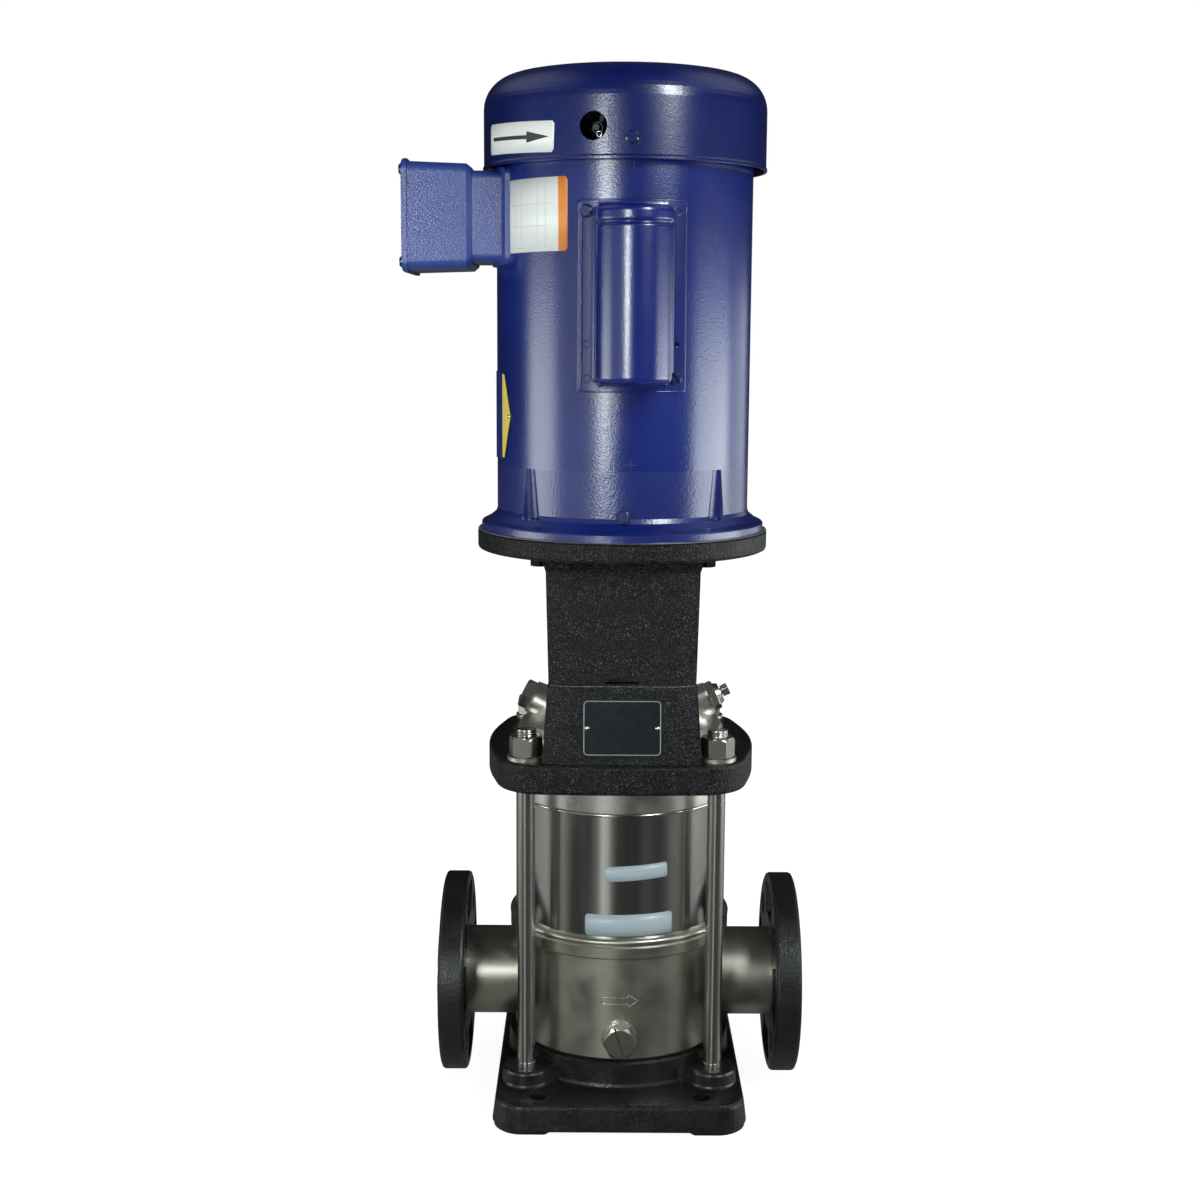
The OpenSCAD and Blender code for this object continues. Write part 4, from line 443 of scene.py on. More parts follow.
def moulded(name, base, roughness):
    """Moulded rubber, plastic, carbon or board."""
    made = Finish(name, roughness=roughness, specular=0.4)
    cloud = made.spread(made.noise(40, 3, 0.6), 0.35, 0.7)
    worn = tuple(c * 1.6 + 0.004 for c in base)
    made.color(made.blend(made.times(cloud, 0.5), base, worn))
    made.roughness(made.spread(made.noise(120, 2, 0.5), 0.3, 0.7, roughness - 0.06, roughness + 0.08))
    made.bump(made.noise(900, 2, 0.5), 0.2, 0.0001)
    return made.material


def polished_sleeve(name):
    """Polished tube with fine lines round its axis and a few smears."""
    made = Finish(name, roughness=0.16, metallic=1.0)
    vector = made.around(0.087)
    lines = made.noise(90, 4, 0.6, vector=vector, stretch=(1.0, 1.0, 0.05))
    smear = made.spread(made.noise(22, 4, 0.65, vector=vector, stretch=(1.0, 1.0, 0.35)), 0.4, 0.75)
    lined = made.spread(lines, 0.3, 0.7, 0.0, 0.55)
    base = made.blend(lined, (0.595, 0.595, 0.575), (0.465, 0.465, 0.445))
    made.color(made.blend(made.times(smear, 0.35), base, (0.36, 0.35, 0.315)))
    made.roughness(made.spread(lines, 0.3, 0.72, 0.13, 0.24))
    made.bump(lines, 0.05, 0.00008)
    made.bump(made.noise(18, 2, 0.5), 0.05, 0.0006)
    return made.material


def lacquered(name, base, roughness, coat=0.25, specular=0.5):
    """Film, foil or print under a thin coat."""
    made = Finish(name, roughness=roughness, coat=coat, coat_roughness=0.2, specular=specular)
    cloud = made.spread(made.noise(60, 3, 0.6), 0.35, 0.7)
    made.color(made.blend(made.times(cloud, 0.3), base, scaled(base, 0.86)))
    made.roughness(made.spread(made.noise(200, 2, 0.5), 0.3, 0.7, roughness - 0.05, roughness + 0.07))
    made.bump(made.noise(500, 2, 0.5), 0.1, 0.00005)
    return made.material


def printed_plate(name):
    """The curved motor plate: its front end is yellow inside a black edge, the rest is blue."""
    middle = math.radians(183.5)
    middle_z, slant = 0.56075, 0.3313
    tip, half_height, front_end = 0.04595, 0.0326, 0.0306
    soft = 0.0001
    made = Finish(name, roughness=0.38, coat=0.25, coat_roughness=0.2)
    x, y, z = made.axes()
    along = made.math("ADD", made.times(x, -math.sin(middle)), made.times(y, math.cos(middle)))
    height = made.math("ABSOLUTE", made.math("SUBTRACT", z, middle_z), 0)
    slanted = made.math("ADD", along, made.times(height, slant))
    edge = made.math("MAXIMUM", made.spread(slanted, tip - soft, tip + soft),
                     made.spread(height, half_height - soft, half_height + soft))
    front = made.spread(along, front_end - soft, front_end + soft)
    cloud = made.spread(made.noise(60, 3, 0.6), 0.35, 0.7)
    yellow = made.blend(made.times(cloud, 0.3), (0.58, 0.46, 0.080), (0.50, 0.39, 0.060))
    printed = made.blend(edge, yellow, (0.010, 0.010, 0.012))
    made.color(made.blend(front, (0.004, 0.012, 0.12), printed))
    made.roughness(made.spread(made.noise(200, 2, 0.5), 0.3, 0.7, 0.33, 0.45))
    made.bump(made.noise(500, 2, 0.5), 0.1, 0.00005)
    return made.material


def make_finishes():
    return {
        "motor_blue": blue_paint("motor_blue_paint"),
        # Fan cover paint: the motor's blue paint made darker, as painted shade for the weaker light up on
        # the cover.
        "shaded_cover_blue": blue_paint("shaded_cover_blue_paint", grain=700, depth=0.00016, roughness=0.24,
                                 deep=(0.0002, 0.0016, 0.040), pale=(0.0004, 0.0045, 0.066)),
        "shield_blue": blue_paint("shield_blue_paint", grain=520, depth=0.00034, roughness=0.30),
        "box_blue": blue_paint("box_blue_paint", grain=850, depth=0.00045, roughness=0.44,
                               deep=(0.006, 0.024, 0.160), pale=(0.012, 0.038, 0.215)),
        "stool_iron": cast_paint("stool_iron_paint", grain=470, depth=0.0010, strength=0.9, glint_share=0.6),
        "base_iron": cast_paint("base_iron_paint", grain=260, depth=0.0008, strength=0.5,
                                roughness=0.38, base=(0.0022, 0.0022, 0.0025), glint_share=0.12,
                                coat=0.22, specular=0.4),
        "flange_iron": cast_paint("flange_iron_paint", grain=420, depth=0.0006, strength=0.6,
                                  roughness=0.38, base=(0.0042, 0.0046, 0.0054), glint_share=0.10,
                                  coat=0.15, specular=0.4),
        "chamber_steel": satin_steel("chamber_satin_steel"),
        "head_steel": satin_steel("head_satin_steel", (0.66, 0.645, 0.60), 0.3, stain=0.2),
        "sleeve_steel": polished_sleeve("sleeve_polished_steel"),
        "stay_steel": plain_metal("stay_turned_steel", (0.50, 0.49, 0.46), 0.26, grain=500,
                                  stretch=(0.06, 0.06, 1), stain=0.06, cloud_scale=15,
                                  strength=0.02, vary=0.006),
        "nut_steel": plain_metal("nut_plated_steel", (0.42, 0.41, 0.37), 0.30, stain=0.10,
                                 cloud_scale=30, strength=0.03, vary=0.008),
        "washer_steel": plain_metal("washer_plated_steel", (0.55, 0.52, 0.44), 0.36, stain=0.2,
                                    cloud_scale=40, strength=0.12),
        "plug_steel": plain_metal("plug_turned_steel", (0.60, 0.59, 0.56), 0.30, grain=900,
                                  stain=0.08, cloud_scale=25, strength=0.02, vary=0.008),
        "drain_steel": plain_metal("drain_turned_steel", (0.50, 0.48, 0.43), 0.28, grain=800,
                                   stain=0.08, cloud_scale=25, strength=0.02, vary=0.008),
        "sheet_steel": plain_metal("guard_sheet_steel", (0.55, 0.55, 0.54), 0.3),
        "inner_steel": plain_metal("inner_sheet_steel", (0.55, 0.54, 0.52), 0.3),
        "core_steel": plain_metal("core_stacked_steel", (0.24, 0.24, 0.25), 0.45, grain=1200,
                                  stretch=(0.05, 0.05, 1)),
        "black_steel": plain_metal("screw_black_steel", (0.018, 0.018, 0.019), 0.60),
        "coupling_iron": plain_metal("coupling_cast_iron", (0.20, 0.20, 0.205), 0.42, grain=400,
                                     depth=0.0002),
        "rivet_steel": plain_metal("rivet_bright_metal", (0.78, 0.77, 0.74), 0.2),
        "copper_wire": plain_metal("winding_copper_wire", (0.50, 0.20, 0.08), 0.35, grain=900,
                                   depth=0.0004),
        "dark_fitting": plain_metal("grease_dark_steel", (0.035, 0.035, 0.045), 0.35),
        "black_rubber": moulded("seal_black_rubber", (0.012, 0.012, 0.012), 0.6),
        "black_plastic": moulded("fan_black_plastic", (0.012, 0.012, 0.014), 0.45),
        "carbon": moulded("seal_ring_carbon", (0.018, 0.018, 0.02), 0.3),
        "board": moulded("switch_brown_board", (0.12, 0.06, 0.03), 0.5),
        "collar_plastic": moulded("collar_amber_plastic", (0.40, 0.31, 0.14), 0.42),
        "dark_plate": lacquered("dark_foil_plate", (0.0030, 0.0062, 0.0085), 0.36, coat=0.0,
                                specular=0.25),
        "plate_line": lacquered("plate_border_line", (0.16, 0.17, 0.18), 0.4),
        "yellow_plate": printed_plate("yellow_foil_plate"),
        "edge_bead": blue_paint("cover_bead_paint", grain=420, depth=0.0022, roughness=0.40,
                                deep=(0.006, 0.020, 0.120), pale=(0.012, 0.034, 0.180)),
        # Pale iron paint with strong specks for the ridge at the stool's waist: a painted highlight along
        # that edge.
        "painted_edge_highlight": cast_paint("painted_edge_highlight_paint", base=(0.075, 0.075, 0.075), glint_share=0.9),
        "bare_rim": plain_metal("bare_turned_rim", (0.80, 0.76, 0.64), 0.36),
        "label_white": lacquered("label_white_film", (0.60, 0.62, 0.60), 0.42),
        # Sleeve label film: white film darkened and tinted blue, as painted shade for the weaker light low
        # on the sleeve.
        "shaded_white_label": lacquered("shaded_white_label_film", (0.23, 0.285, 0.31), 0.42),
        "label_orange": lacquered("label_orange_print", (0.58, 0.20, 0.035), 0.42),
        "label_ink": lacquered("label_ink_print", (0.025, 0.027, 0.03), 0.45),
        "label_line": lacquered("label_line_print", (0.40, 0.42, 0.43), 0.45),
    }


# CAD nodes by their finish
FINISH_NODES = {
    "base_iron": ["base_plate"],
    "chamber_steel": ["base_chamber"],
    "drain_steel": ["drain_plug"],
    "plug_steel": ["plug_seals", "fill_plug", "vent_plug", "seal_carrier"],
    "flange_iron": ["suction_flange", "discharge_flange"],
    "sleeve_steel": ["outer_sleeve"],
    "black_rubber": ["sleeve_seals", "vent_stem_ring", "wear_rings"],
    "head_steel": ["pump_head"],
    "washer_steel": ["vent_stem", "stay_washers", "governor"],
    "stay_steel": ["stay_bolts", "pump_shaft", "motor_shaft"],
    "nut_steel": ["stay_nuts", "through_bolts"],
    "stool_iron": ["motor_stool"],
    "sheet_steel": ["coupling_guards"],
    "rivet_steel": ["guard_screws", "nameplate_rivets"],
    "dark_plate": ["stool_nameplate"],
    "black_steel": ["motor_bolts", "seal_carrier_screws", "coupling_screws", "coupling_pin"],
    "inner_steel": ["inlet_stage", "stage_bowls", "seal_spring", "seal_driver", "impellers",
                    "impeller_spacers", "motor_bearings"],
    "carbon": ["stage_bearings", "seal_seat", "seal_face_ring"],
    "coupling_iron": ["coupling_halves"],
    "core_steel": ["rotor_core", "stator_core"],
    "black_plastic": ["cooling_fan", "start_capacitor"],
    "copper_wire": ["stator_windings"],
    "motor_blue": ["motor_frame", "capacitor_cover"],
    "shield_blue": ["drive_endshield", "fan_endshield", "endshield_plug"],
    "shaded_cover_blue": ["fan_cover", "motor_cover_screws"],
    "dark_fitting": ["grease_fitting"],
    "box_blue": ["conduit_box", "conduit_cover"],
    "yellow_plate": ["motor_nameplate"],
    "collar_plastic": ["switch_collar"],
    "board": ["switch_plate"],
}


def dress_nodes(finish):
    for look, names in FINISH_NODES.items():
        for name in names:
            node = nodes[name]
            if not node.data.materials:
                node.data.materials.append(finish[look])
            for slot in node.material_slots:
                slot.material = finish[look]


# Mesh pieces
def piece(name, points, faces, materials, body=ROOT, smooth=True, face_material=None):
    """Makes a mesh from points in millimetres and lets it ride on a body."""
    mesh = bpy.data.meshes.new(name)
    mesh.from_pydata([tuple(c * MM for c in p) for p in points], [], faces)
    mesh.validate()
    for material in materials:
        mesh.materials.append(material)
    if face_material:
        for polygon, index in zip(mesh.polygons, face_material):
            polygon.material_index = index
    for polygon in mesh.polygons:
        polygon.use_smooth = smooth
    made = bpy.data.objects.new(name, mesh)
    bpy.context.scene.collection.objects.link(made)
    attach(made, body)
    return made


def grid_faces(rows, columns, wrap_rows=False, wrap_columns=False, flip=False):
    """Quads between neighbouring rows of points; flip turns them inside out."""
    faces = []
    for i in range(rows if wrap_rows else rows - 1):
        a, b = i * columns, (i + 1) % rows * columns
        for k in range(columns if wrap_columns else columns - 1):
            m = (k + 1) % columns
            faces.append((a + k, a + m, b + m, b + k) if flip else (a + k, b + k, b + m, a + m))
    return faces


def on_cylinder(radius, arc, height):
    """Point on an upright cylinder; arc is measured from the front (-Y) towards +X."""
    a = arc / radius
    return (radius * math.sin(a), -radius * math.cos(a), height)


def polar(radius, azimuth, height=0):
    """Point at an azimuth in degrees, measured from the front (-Y) towards +X."""
    a = math.radians(azimuth)
    return (radius * math.sin(a), -radius * math.cos(a), height)


def arc_at(radius, x):
    return radius * math.asin(max(-1, min(1, x / radius)))


def on_label(spot, u, v, lift):
    """Point on a label, u along it and v up it from its middle."""
    radius, arc, z, tilt = spot
    turn = math.radians(tilt)
    along = arc + u * math.cos(turn) - v * math.sin(turn)
    return on_cylinder(radius + lift, along, z + u * math.sin(turn) + v * math.cos(turn))


def sticker(name, spot, width, height, corner, materials, orange_from=1.0):
    """A rounded label bent round the motor or sleeve, with a thin rim.

    The second material covers it from orange_from, a share of its width, to its right end.
    """
    columns = 48
    lift = 0.12
    points, marks = [], []
    for i in range(columns + 1):
        u = -width / 2 + width * i / columns
        edge = min(u + width / 2, width / 2 - u)
        drop = 0.0
        if edge < corner:
            drop = corner - math.sqrt(max(0.0, corner * corner - (corner - edge) ** 2))
        for v in (-height / 2 + drop, 0.0, height / 2 - drop):
            points.append(on_label(spot, u, v, lift))
    for i in range(columns):
        marks += [1 if (i + 0.5) / columns >= orange_from else 0] * 2
    made = piece(name, points, grid_faces(columns + 1, 3), materials, face_material=marks)
    thick = made.modifiers.new("thickness", "SOLIDIFY")
    thick.thickness = lift * 0.9 * MM
    thick.offset = -1
    return made


def print_strip(spot, rows, lift=PRINT_LIFT):
    """A printed strip on a label, from rows of place along it, lower edge and upper edge."""
    points = [on_label(spot, u, v, lift) for u, *ends in rows for v in ends]
    return points, grid_faces(len(rows), 2)


def print_bar(spot, u0, u1, v0, v1, lift=PRINT_LIFT):
    steps = 8
    return print_strip(spot, [(u0 + (u1 - u0) * i / steps, v0, v1) for i in range(steps + 1)], lift)


def merged(name, parts, material, smooth=True):
    """One piece made from several lists of points and faces."""
    points, faces = [], []
    for part_points, part_faces in parts:
        start = len(points)
        points.extend(part_points)
        faces.extend(tuple(i + start for i in face) for face in part_faces)
    return piece(name, points, faces, [material], smooth=smooth)


def ridge(path, normals, half_width, height, closed=False, rough=0.0, seed=1):
    """A low rounded ridge swept along a path that lies on a surface."""
    chance = random.Random(seed)
    count = len(path)
    shape = [(-1.0, -0.25), (-0.8, 0.45), (-0.35, 0.92), (0.35, 0.92), (0.8, 0.45), (1.0, -0.25)]
    points = []
    for i, (here, normal) in enumerate(zip(path, normals)):
        before = Vector(path[i - 1] if closed or i else path[i])
        after = Vector(path[(i + 1) % count] if closed or i < count - 1 else path[i])
        along = (after - before).normalized()
        out = Vector(normal).normalized()
        across = along.cross(out).normalized()
        grow = 1 + rough * (chance.random() - 0.5) * 2
        for s, h in shape:
            points.append(tuple(Vector(here) + across * s * half_width * grow + out * h * height * grow))
    n = len(shape)
    faces = grid_faces(count, n, wrap_rows=closed)
    if not closed:
        faces.append(tuple(range(n)))
        faces.append(tuple((count - 1) * n + k for k in reversed(range(n))))
    return points, faces


def cylinder_path(radius, corners, step=1.0):
    """Points along straight runs between (x, z) corners, laid on a cylinder, with their normals."""
    path, normals = [], []
    for (x0, z0), (x1, z1) in zip(corners, corners[1:]):
        length = math.hypot(x1 - x0, z1 - z0)
        count = max(1, int(length / step))
        for i in range(count):
            t = i / count
            p = on_cylinder(radius, arc_at(radius, x0 + (x1 - x0) * t), z0 + (z1 - z0) * t)
            path.append(p)
            normals.append((p[0], p[1], 0))
    x, z = corners[-1]
    p = on_cylinder(radius, arc_at(radius, x), z)
    path.append(p)
    normals.append((p[0], p[1], 0))
    return path, normals


def thread(cx, cy, z0, z1, r0, depth, pitch):
    """A helical thread round an upright stud, which fades out at its top."""
    around = 48
    per_pitch = 8
    run_out = 1.2
    rows = int((z1 - z0) / pitch * per_pitch)
    points = []
    for k in range(rows + 1):
        z = z0 + (z1 - z0) * k / rows
        fade = min(1.0, (z1 - z) / run_out)
        for i in range(around):
            a = 2 * math.pi * i / around
            phase = (z / pitch - i / around) % 1.0
            r = r0 + depth * (1 - abs(2 * phase - 1)) * fade
            points.append((cx + r * math.cos(a), cy + r * math.sin(a), z))
    return points, grid_faces(rows + 1, around, wrap_columns=True, flip=True)


def build_labels(finish):
    white, shaded_white = finish["label_white"], finish["shaded_white_label"]
    orange, ink, line = finish["label_orange"], finish["label_ink"], finish["label_line"]
    # Direction label on the fan cover: a plain arrow on white film.
    sticker("direction_label", DIRECTION_SPOT, 76.5, 22.6, 2.4, [white])
    shaft = print_bar(DIRECTION_SPOT, -32, 13, -1.4, 1.4)
    head_from, head_long, head_half, point_half = 12.5, 21.3, 4.2, 0.02
    steps = 10
    rows = []
    for i in range(steps + 1):
        half = head_half * (1 - i / steps) + point_half
        rows.append((head_from + head_long * i / steps, -half, half))
    merged("direction_arrow", [shaft, print_strip(DIRECTION_SPOT, rows)], ink)

    # Wiring label on the frame: bare white film with an orange edge and a few plain rules.
    sticker("wiring_label", WIRING_SPOT, 63.3, 54.4, 2.5, [white, orange], orange_from=0.877)
    bars = [print_bar(WIRING_SPOT, u, u + 0.45, -24, 24) for u in (-23.0, -14.5, 4.0, 12.0)]
    bars += [print_bar(WIRING_SPOT, -28, 18, v - 0.2, v + 0.2) for v in (-24, -8, 8, 24)]
    merged("wiring_label_rules", bars, line)

    # Two bare labels on the sleeve, in white film darkened as painted shade for the weaker light low on the
    # sleeve.
    sticker("upper_sleeve_label", UPPER_SPOT, 50.8, 12.2, 2.0, [shaded_white])
    sticker("lower_sleeve_label", LOWER_SPOT, 72.0, 18.0, 2.2, [shaded_white])


def build_marks(finish):
    """Raised outline arrow on the chamber."""
    tail, neck, tip = -14.5, 6.5, 14.3
    shaft_half, head_half = 2.6, 5.4
    z = 96.6
    outline = [(tail, z - shaft_half), (tail, z + shaft_half), (neck, z + shaft_half),
               (neck, z + head_half), (tip, z), (neck, z - head_half), (neck, z - shaft_half),
               (tail, z - shaft_half)]
    path, normals = cylinder_path(CHAMBER_R, outline, 1.2)
    merged("flow_arrow", [ridge(path, normals, 0.45, 0.4)], finish["chamber_steel"])


def dome_section(inset, limit, groove):
    """Section of the capacitor cover at one height: flange, wall, crown, wall and flange, as (x, y).

    The inset draws it in, the limit holds it near the frame, and the groove sinks its crown.
    """
    outer = FRAME_R + CAP_SHEET + 0.05
    flare = 3.0
    half = CAP_HALF - inset
    crown = CAP_CROWN - inset
    corner = CAP_CORNER - inset
    crown_y = -CAP_REACH + CAP_CROWN
    lean = CAP_CROWN - CAP_CORNER
    turn = math.asin(CAP_CORNER_X / lean)
    corner_y = crown_y - lean * math.cos(turn)
    level = math.radians(90)
    groove_end, groove_fade = math.radians(80), math.radians(16)

    def surface(x):
        return -math.sqrt(outer * outer - x * x)

    def side(s):
        """Half a section from the flange's edge up to the crown's start, on side s."""
        edge = CAP_RIGHT if s > 0 else CAP_LEFT
        wall = CAP_X + s * half
        foot = wall + s * flare
        run = []
        for i in range(7):
            x = edge + (foot - edge) * i / 6
            run.append((x, surface(x)))
        start = (foot, surface(foot))
        bend = (wall, surface(wall))
        end = (wall, surface(wall) - flare)
        for i in range(1, 7):
            t = i / 6
            run.append(tuple((1 - t) ** 2 * a + 2 * t * (1 - t) * b + t * t * c
                             for a, b, c in zip(start, bend, end)))
        for i in range(1, 5):
            run.append((wall, end[1] + (corner_y - end[1]) * (i / 5)))
        for i in range(11):
            a = level + (turn - level) * i / 11
            r = corner - groove * max(0.0, min(1.0, (groove_end - a) / groove_fade))
            run.append((CAP_X + s * (CAP_CORNER_X + r * math.sin(a)), corner_y - r * math.cos(a)))
        return run

    top = []
    for i in range(33):
        a = -turn + 2 * turn * i / 32
        top.append((CAP_X + (crown - groove) * math.sin(a), crown_y - (crown - groove) * math.cos(a)))
    path = side(-1) + top + side(1)[::-1]
    return [(x, max(y, surface(x) - limit)) for x, y in path]


def dome_rings():
    """Heights of the capacitor cover's sections, with each one's inset, height limit and groove depth."""
    low, high = CAP_Z - CAP_LONG / 2, CAP_Z + CAP_LONG / 2
    groove_z = high - 12.7
    far = 99.0
    rings = []
    for flange, end, out in ((CAP_LOW, low, -1), (CAP_HIGH, high, 1)):
        rings.append((flange, CAP_END, 0.0, 0.0))
        for step, limit in ((3.0, 0.0), (1.6, 0.3), (0.6, 1.1), (0.1, 2.8), (0.0, far)):
            rings.append((end + out * step, CAP_END, limit, 0.0))
        for e in (0.1, 0.3, 0.7, 1.3, 2.1, 3.2, 4.5):
            inset = CAP_END - math.sqrt(CAP_END ** 2 - (CAP_END - e) ** 2)
            rings.append((end - out * e, inset, far, 0.0))
    for z in [low + 5.2, low + 6.5, high - 5.2, high - 6.5] + [low + 6.5 + 8.0 * k for k in range(1, 13)]:
        rings.append((z, 0.0, far, 0.0))
    for step, depth in ((0.5, 1.6), (1.2, 1.0), (1.8, 0.2), (2.3, 0.0), (3.4, 0.0)):
        rings.append((groove_z - step, 0.0, far, depth))
        rings.append((groove_z + step, 0.0, far, depth))
    return sorted(rings, key=lambda ring: ring[0])


def drill(target, cutters):
    """Cuts the cutters' shapes out of a piece and takes them away again."""
    for cutter in cutters:
        cut = target.modifiers.new("hole", "BOOLEAN")
        cut.operation = "DIFFERENCE"
        cut.solver = "EXACT"
        cut.object = cutter
    shaped = bpy.data.meshes.new_from_object(target.evaluated_get(bpy.context.evaluated_depsgraph_get()))
    target.modifiers.clear()
    target.data = shaped
    for cutter in cutters:
        bpy.data.objects.remove(cutter)


def round_bar(name, center, axis, radius, near, far):
    """A round bar along an axis, from near to far, used to cut holes."""
    axis = Vector(axis).normalized()
    turn = axis.to_track_quat("Z", "Y")
    count = 28
    points = []
    for reach in (near, far):
        for i in range(count):
            a = 2 * math.pi * i / count
            spot = Vector(center) + turn @ Vector((radius * math.cos(a), radius * math.sin(a), reach))
            points.append(tuple(c * MM for c in spot))
    faces = [(i, (i + 1) % count, count + (i + 1) % count, count + i) for i in range(count)]
    faces += [tuple(reversed(range(count))), tuple(range(count, 2 * count))]
    mesh = bpy.data.meshes.new(name)
    mesh.from_pydata(points, [], faces)
    made = bpy.data.objects.new(name, mesh)
    bpy.context.scene.collection.objects.link(made)
    return made


def build_capacitor_cover(finish):
    """Deep-drawn cover with rounded ends, which the CAD solid has only along its middle."""
    rings = dome_rings()
    points = []
    for z, inset, limit, groove in rings:
        points.extend((x, y, z) for x, y in dome_section(inset, limit, groove))
    faces = grid_faces(len(rings), len(points) // len(rings), flip=True)
    cover = piece("capacitor_dome", points, faces, [finish["motor_blue"]])
    thick = cover.modifiers.new("thickness", "SOLIDIFY")
    thick.thickness = CAP_SHEET * MM
    thick.offset = -1
    hole_r, dimple_r = 2.0, 2.8
    inside, floor, outside = 96, 102.5, 110
    azimuth, z = CAP_HOLE
    cutters = [round_bar("cutter_hole", (0, 0, z), polar(1, azimuth), hole_r, inside, outside)]
    for azimuth, z in CAP_DIMPLES:
        cutters.append(round_bar("cutter_dimple", (0, 0, z), polar(1, azimuth), dimple_r, floor, outside))
    drill(cover, cutters)
    cover.data.set_sharp_from_angle(angle=math.radians(50))
    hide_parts("capacitor_cover")

    # Paint bead along the flange's left edge, its rim line, and three weld pimples on the wall.
    skin = FRAME_R + CAP_SHEET
    left = CAP_LEFT + 1.8
    path, normals = cylinder_path(skin, [(left, CAP_LOW + 0.8), (left, CAP_HIGH - 0.6)], 2.0)
    bead = ridge(path, normals, 1.9, 1.0, rough=0.14, seed=4)
    merged("cover_edge_bead", [bead], finish["edge_bead"])
    edge = [(CAP_LEFT, CAP_HIGH), (CAP_LEFT, CAP_LOW), (CAP_RIGHT, CAP_LOW), (CAP_RIGHT, CAP_HIGH),
            (CAP_LEFT, CAP_HIGH)]
    path, normals = cylinder_path(skin - 0.2, edge, 3.0)
    merged("cover_flange_edge", [ridge(path, normals, 0.75, 0.45)], finish["motor_blue"])
    joints = [hoop(polar(skin + 0.2, azimuth, z), polar(1, azimuth), 4.9, 0.4) for azimuth, z in CAP_SCREWS]
    azimuth = math.degrees(math.asin(COVER_SCREW_X / COVER_R))
    joints.append(hoop(polar(COVER_R, azimuth, COVER_SCREW_Z), polar(1, azimuth), 5.0, 0.4))
    merged("screw_joints", joints, finish["black_rubber"])
    # Dark rings round the dimples: painted shade at the dimples' edges.
    rims = [hoop(polar(skin, azimuth, z), polar(1, azimuth), dimple_r, 0.3) for azimuth, z in CAP_DIMPLES]
    merged("dimple_shade_rims", rims, finish["shaded_cover_blue"])
    bumps = [button((CAP_X - 28.4, -108, z), (-1, 0, 0), 1.6, 1.1) for z in (681.5, 645.0, 609.1)]
    merged("cover_wall_pimples", bumps, finish["motor_blue"])


def button(center, axis, radius, height):
    """A low rounded button standing on a surface."""
    turn = Vector(axis).normalized().to_track_quat("Z", "Y")
    count, rows = 20, 5
    points = []
    for k in range(rows):
        a = math.radians(90) * k / rows
        for i in range(count):
            b = 2 * math.pi * i / count
            spot = (radius * math.cos(a) * math.cos(b), radius * math.cos(a) * math.sin(b),
                    height * math.sin(a))
            points.append(tuple(Vector(center) + turn @ Vector(spot)))
    points.append(tuple(Vector(center) + turn @ Vector((0, 0, height))))
    faces = grid_faces(rows, count, wrap_columns=True, flip=True)
    for i in range(count):
        faces.append(((rows - 1) * count + i, (rows - 1) * count + (i + 1) % count, rows * count))
    faces.append(tuple(reversed(range(count))))
    return points, faces


def hoop(center, axis, radius, thick):
    """A round ring of round section."""
    turn = Vector(axis).normalized().to_track_quat("Z", "Y")
    count, rows = 36, 8
    points = []
    for i in range(count):
        a = 2 * math.pi * i / count
        for k in range(rows):
            b = 2 * math.pi * k / rows
            r = radius + thick * math.cos(b)
            spot = Vector((r * math.cos(a), r * math.sin(a), thick * math.sin(b)))
            points.append(tuple(Vector(center) + turn @ spot))
    return points, grid_faces(count, rows, wrap_rows=True, wrap_columns=True)


def build_plate_border(finish):
    """Thin light line inside the stool name plate's edge, laid on the plate's own front face."""
    margin, corner = 1.7, 3.0
    plate = nodes["stool_nameplate"].data
    front = max((p for p in plate.polygons if p.normal.y < -0.5), key=lambda p: p.area)
    normal = front.normal.copy()
    level = [p for p in plate.polygons if p.normal.dot(normal) > 0.9999]
    spots = [plate.vertices[i].co / MM for p in level for i in p.vertices]
    across = Vector((1, 0, 0))
    upward = normal.cross(across).normalized()
    if upward.z < 0:
        upward = -upward
    us = [s.dot(across) for s in spots]
    vs = [s.dot(upward) for s in spots]
    depth = spots[0].dot(normal)
    u_mid, v_mid = (min(us) + max(us)) / 2, (min(vs) + max(vs)) / 2
    half_u, half_v = (max(us) - min(us)) / 2 - margin, (max(vs) - min(vs)) / 2 - margin
    path = []
    for su, sv, start in ((1, 1, 0), (-1, 1, 90), (-1, -1, 180), (1, -1, 270)):
        for i in range(7):
            a = math.radians(start + 15 * i)
            u = u_mid + su * (half_u - corner) + corner * math.cos(a)
            v = v_mid + sv * (half_v - corner) + corner * math.sin(a)
            path.append(tuple(across * u + upward * v + normal * depth))
    line = ridge(path, [tuple(normal)] * len(path), 0.42, 0.16, closed=True)
    merged("plate_border", [line], finish["plate_line"])


def build_nuts(finish):
    """Stay nuts with bevelled corners, each turned as the photograph shows it."""
    lowest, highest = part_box("stay_nuts")
    z0, z1 = lowest[2] / MM, highest[2] / MM
    flat = 12.0
    bore = STUD_R + 0.25
    steps = 96
    parts = []
    for sx, sy, facing in ((-1, -1, 254), (1, -1, 268), (-1, 1, 290), (1, 1, 230)):
        cx, cy = sx * STAY, sy * STAY
        points = []
        for i in range(steps):
            a = 2 * math.pi * i / steps
            off = (math.degrees(a) - facing + 30) % 60 - 30
            edge = flat / math.cos(math.radians(off))
            drop = (edge - flat) * 1.3
            rows = [(bore, z0), (flat * 0.97, z0), (edge, z0 + drop * 0.35 + 0.2),
                    (edge, z1 - drop - 0.5), (flat + (edge - flat) * 0.45, z1 - drop * 0.4 - 0.15),
                    (flat * 0.95, z1), (STUD_R + 1.1, z1), (bore, z1 - 0.8), (bore, z0)]
            points.extend((cx + r * math.cos(a), cy + r * math.sin(a), z) for r, z in rows)
        parts.append((points, grid_faces(steps, len(rows), wrap_rows=True)))
    nuts = merged("bevelled_nuts", parts, finish["nut_steel"], smooth=False)
    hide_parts("stay_nuts")


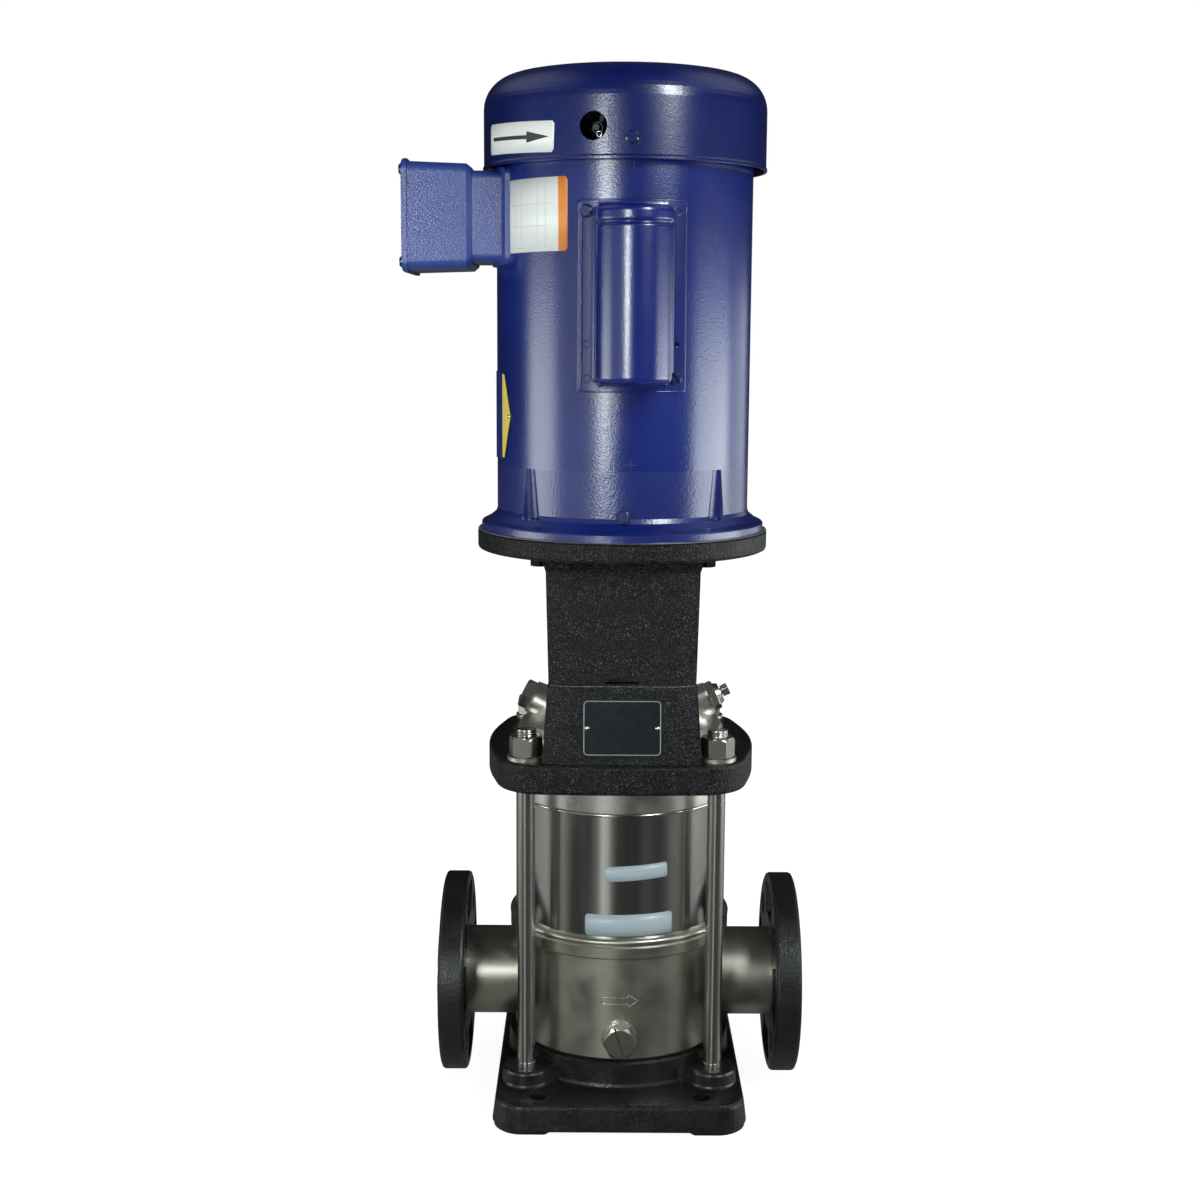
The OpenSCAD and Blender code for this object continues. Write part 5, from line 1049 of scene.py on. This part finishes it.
def build_slot_shade_sheets(finish):
    """Thin dark sheets inside the stool's two slots, as painted shade in the slots."""
    frame_xz = [(-SHADE_SHEET_HALF, SHADE_SHEET_LOW), (SHADE_SHEET_HALF, SHADE_SHEET_LOW), (SHADE_SHEET_HALF, SHADE_SHEET_HIGH),
                (-SHADE_SHEET_HALF, SHADE_SHEET_HIGH)]
    faces = [(0, 1, 2, 3), (7, 6, 5, 4), (0, 4, 5, 1), (1, 5, 6, 2), (2, 6, 7, 3), (3, 7, 4, 0)]
    parts = []
    for side in (-1, 1):
        layers = (side * SHADE_SHEET_Y, side * (SHADE_SHEET_Y - SHADE_SHEET_THICK))
        parts.append(([(x, y, z) for y in layers for x, z in frame_xz], faces))
    merged("slot_shade_sheets", parts, finish["black_rubber"], smooth=False)


def build_rim(finish):
    """Bare turned rim of the stool's round flange, a thin bright line under the motor's foot."""
    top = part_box("motor_stool")[1][2] / MM
    count = 160
    profile = [(114.4, 0.02), (114.8, 0.16), (117.0, 0.16), (117.35, -0.25)]
    points = []
    for i in range(count):
        a = 2 * math.pi * i / count
        points.extend((r * math.cos(a), r * math.sin(a), top + h) for r, h in profile)
    faces = grid_faces(count, len(profile), wrap_rows=True, flip=True)
    merged("stool_flange_rim", [(points, faces)], finish["bare_rim"])


def build_rings(finish):
    """Ring on the grease fitting, and the dark joint round the end shield's plug."""
    lowest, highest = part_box("grease_fitting")
    x, z = (lowest[0] + highest[0]) / 2 / MM, (lowest[2] + highest[2]) / 2 / MM
    axis = (x, -math.sqrt(COVER_R ** 2 - x * x), 0)
    ring = hoop((x, lowest[1] / MM - 0.1, z), axis, 1.9, 0.5)
    merged("grease_fitting_ring", [ring], finish["rivet_steel"])
    lowest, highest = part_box("endshield_plug")
    x, z = (lowest[0] + highest[0]) / 2 / MM, (lowest[2] + highest[2]) / 2 / MM
    half = (highest[0] - lowest[0]) / 2 / MM
    joint = hoop((x, lowest[1] / MM + 0.5, z), (x, -110, 0), half + 0.15, 0.4)
    merged("plug_joint", [joint], finish["black_rubber"])


def build_waist_highlight(finish):
    """Pale ridge across the stool's front, where the neck meets the wider foot; its pale paint is a painted
    highlight along that edge.
    """
    left, step, count = -57.0, 1.5, 77
    bpy.context.view_layer.update()
    stool = nodes["motor_stool"]
    path, normals = [], []
    for i in range(count):
        start = Vector((left + step * i, -300, WAIST_Z)) * MM
        hit, place, normal, _ = stool.ray_cast(start, Vector((0, 1, 0)))
        if hit and place.y < -0.07:
            path.append(tuple(place / MM))
            normals.append(tuple(normal))
    edge = ridge(path, normals, 0.38, 0.22, rough=0.7, seed=9)
    merged("stool_waist_painted_highlight", [edge], finish["painted_edge_highlight"])


def build_scribes(finish):
    """Short scribed line and cross on the motor frame."""
    high = (FRAME_R, arc_at(FRAME_R, 5.2), 747.2, 0)
    low = (FRAME_R, arc_at(FRAME_R, 4.7), 527.0, 0)
    scribes = [print_bar(high, -0.3, 0.3, -3.2, 3.2, 0.06),
               print_bar(low, -0.22, 0.22, -5.0, 5.0, 0.06),
               print_bar(low, -5.5, 5.5, -0.22, 0.22, 0.07)]
    merged("frame_scribes", scribes, finish["label_ink"])


def build_threads(finish):
    low, high = NUT_TOP + 0.2, STUD_TOP - 0.2
    parts = []
    for sx in (-1, 1):
        for sy in (-1, 1):
            parts.append(thread(sx * STAY, sy * STAY, low, high, STUD_R - 0.1, 0.5, 2.0))
    merged("stay_threads", parts, finish["stay_steel"])


def main():
    aim_camera()
    build_studio()
    finish = make_finishes()
    dress_nodes(finish)
    build_labels(finish)
    build_marks(finish)
    build_threads(finish)
    build_capacitor_cover(finish)
    build_nuts(finish)
    build_slot_shade_sheets(finish)
    build_plate_border(finish)
    build_rim(finish)
    build_rings(finish)
    build_waist_highlight(finish)
    build_scribes(finish)


main()
bpy.context.view_layer.update()
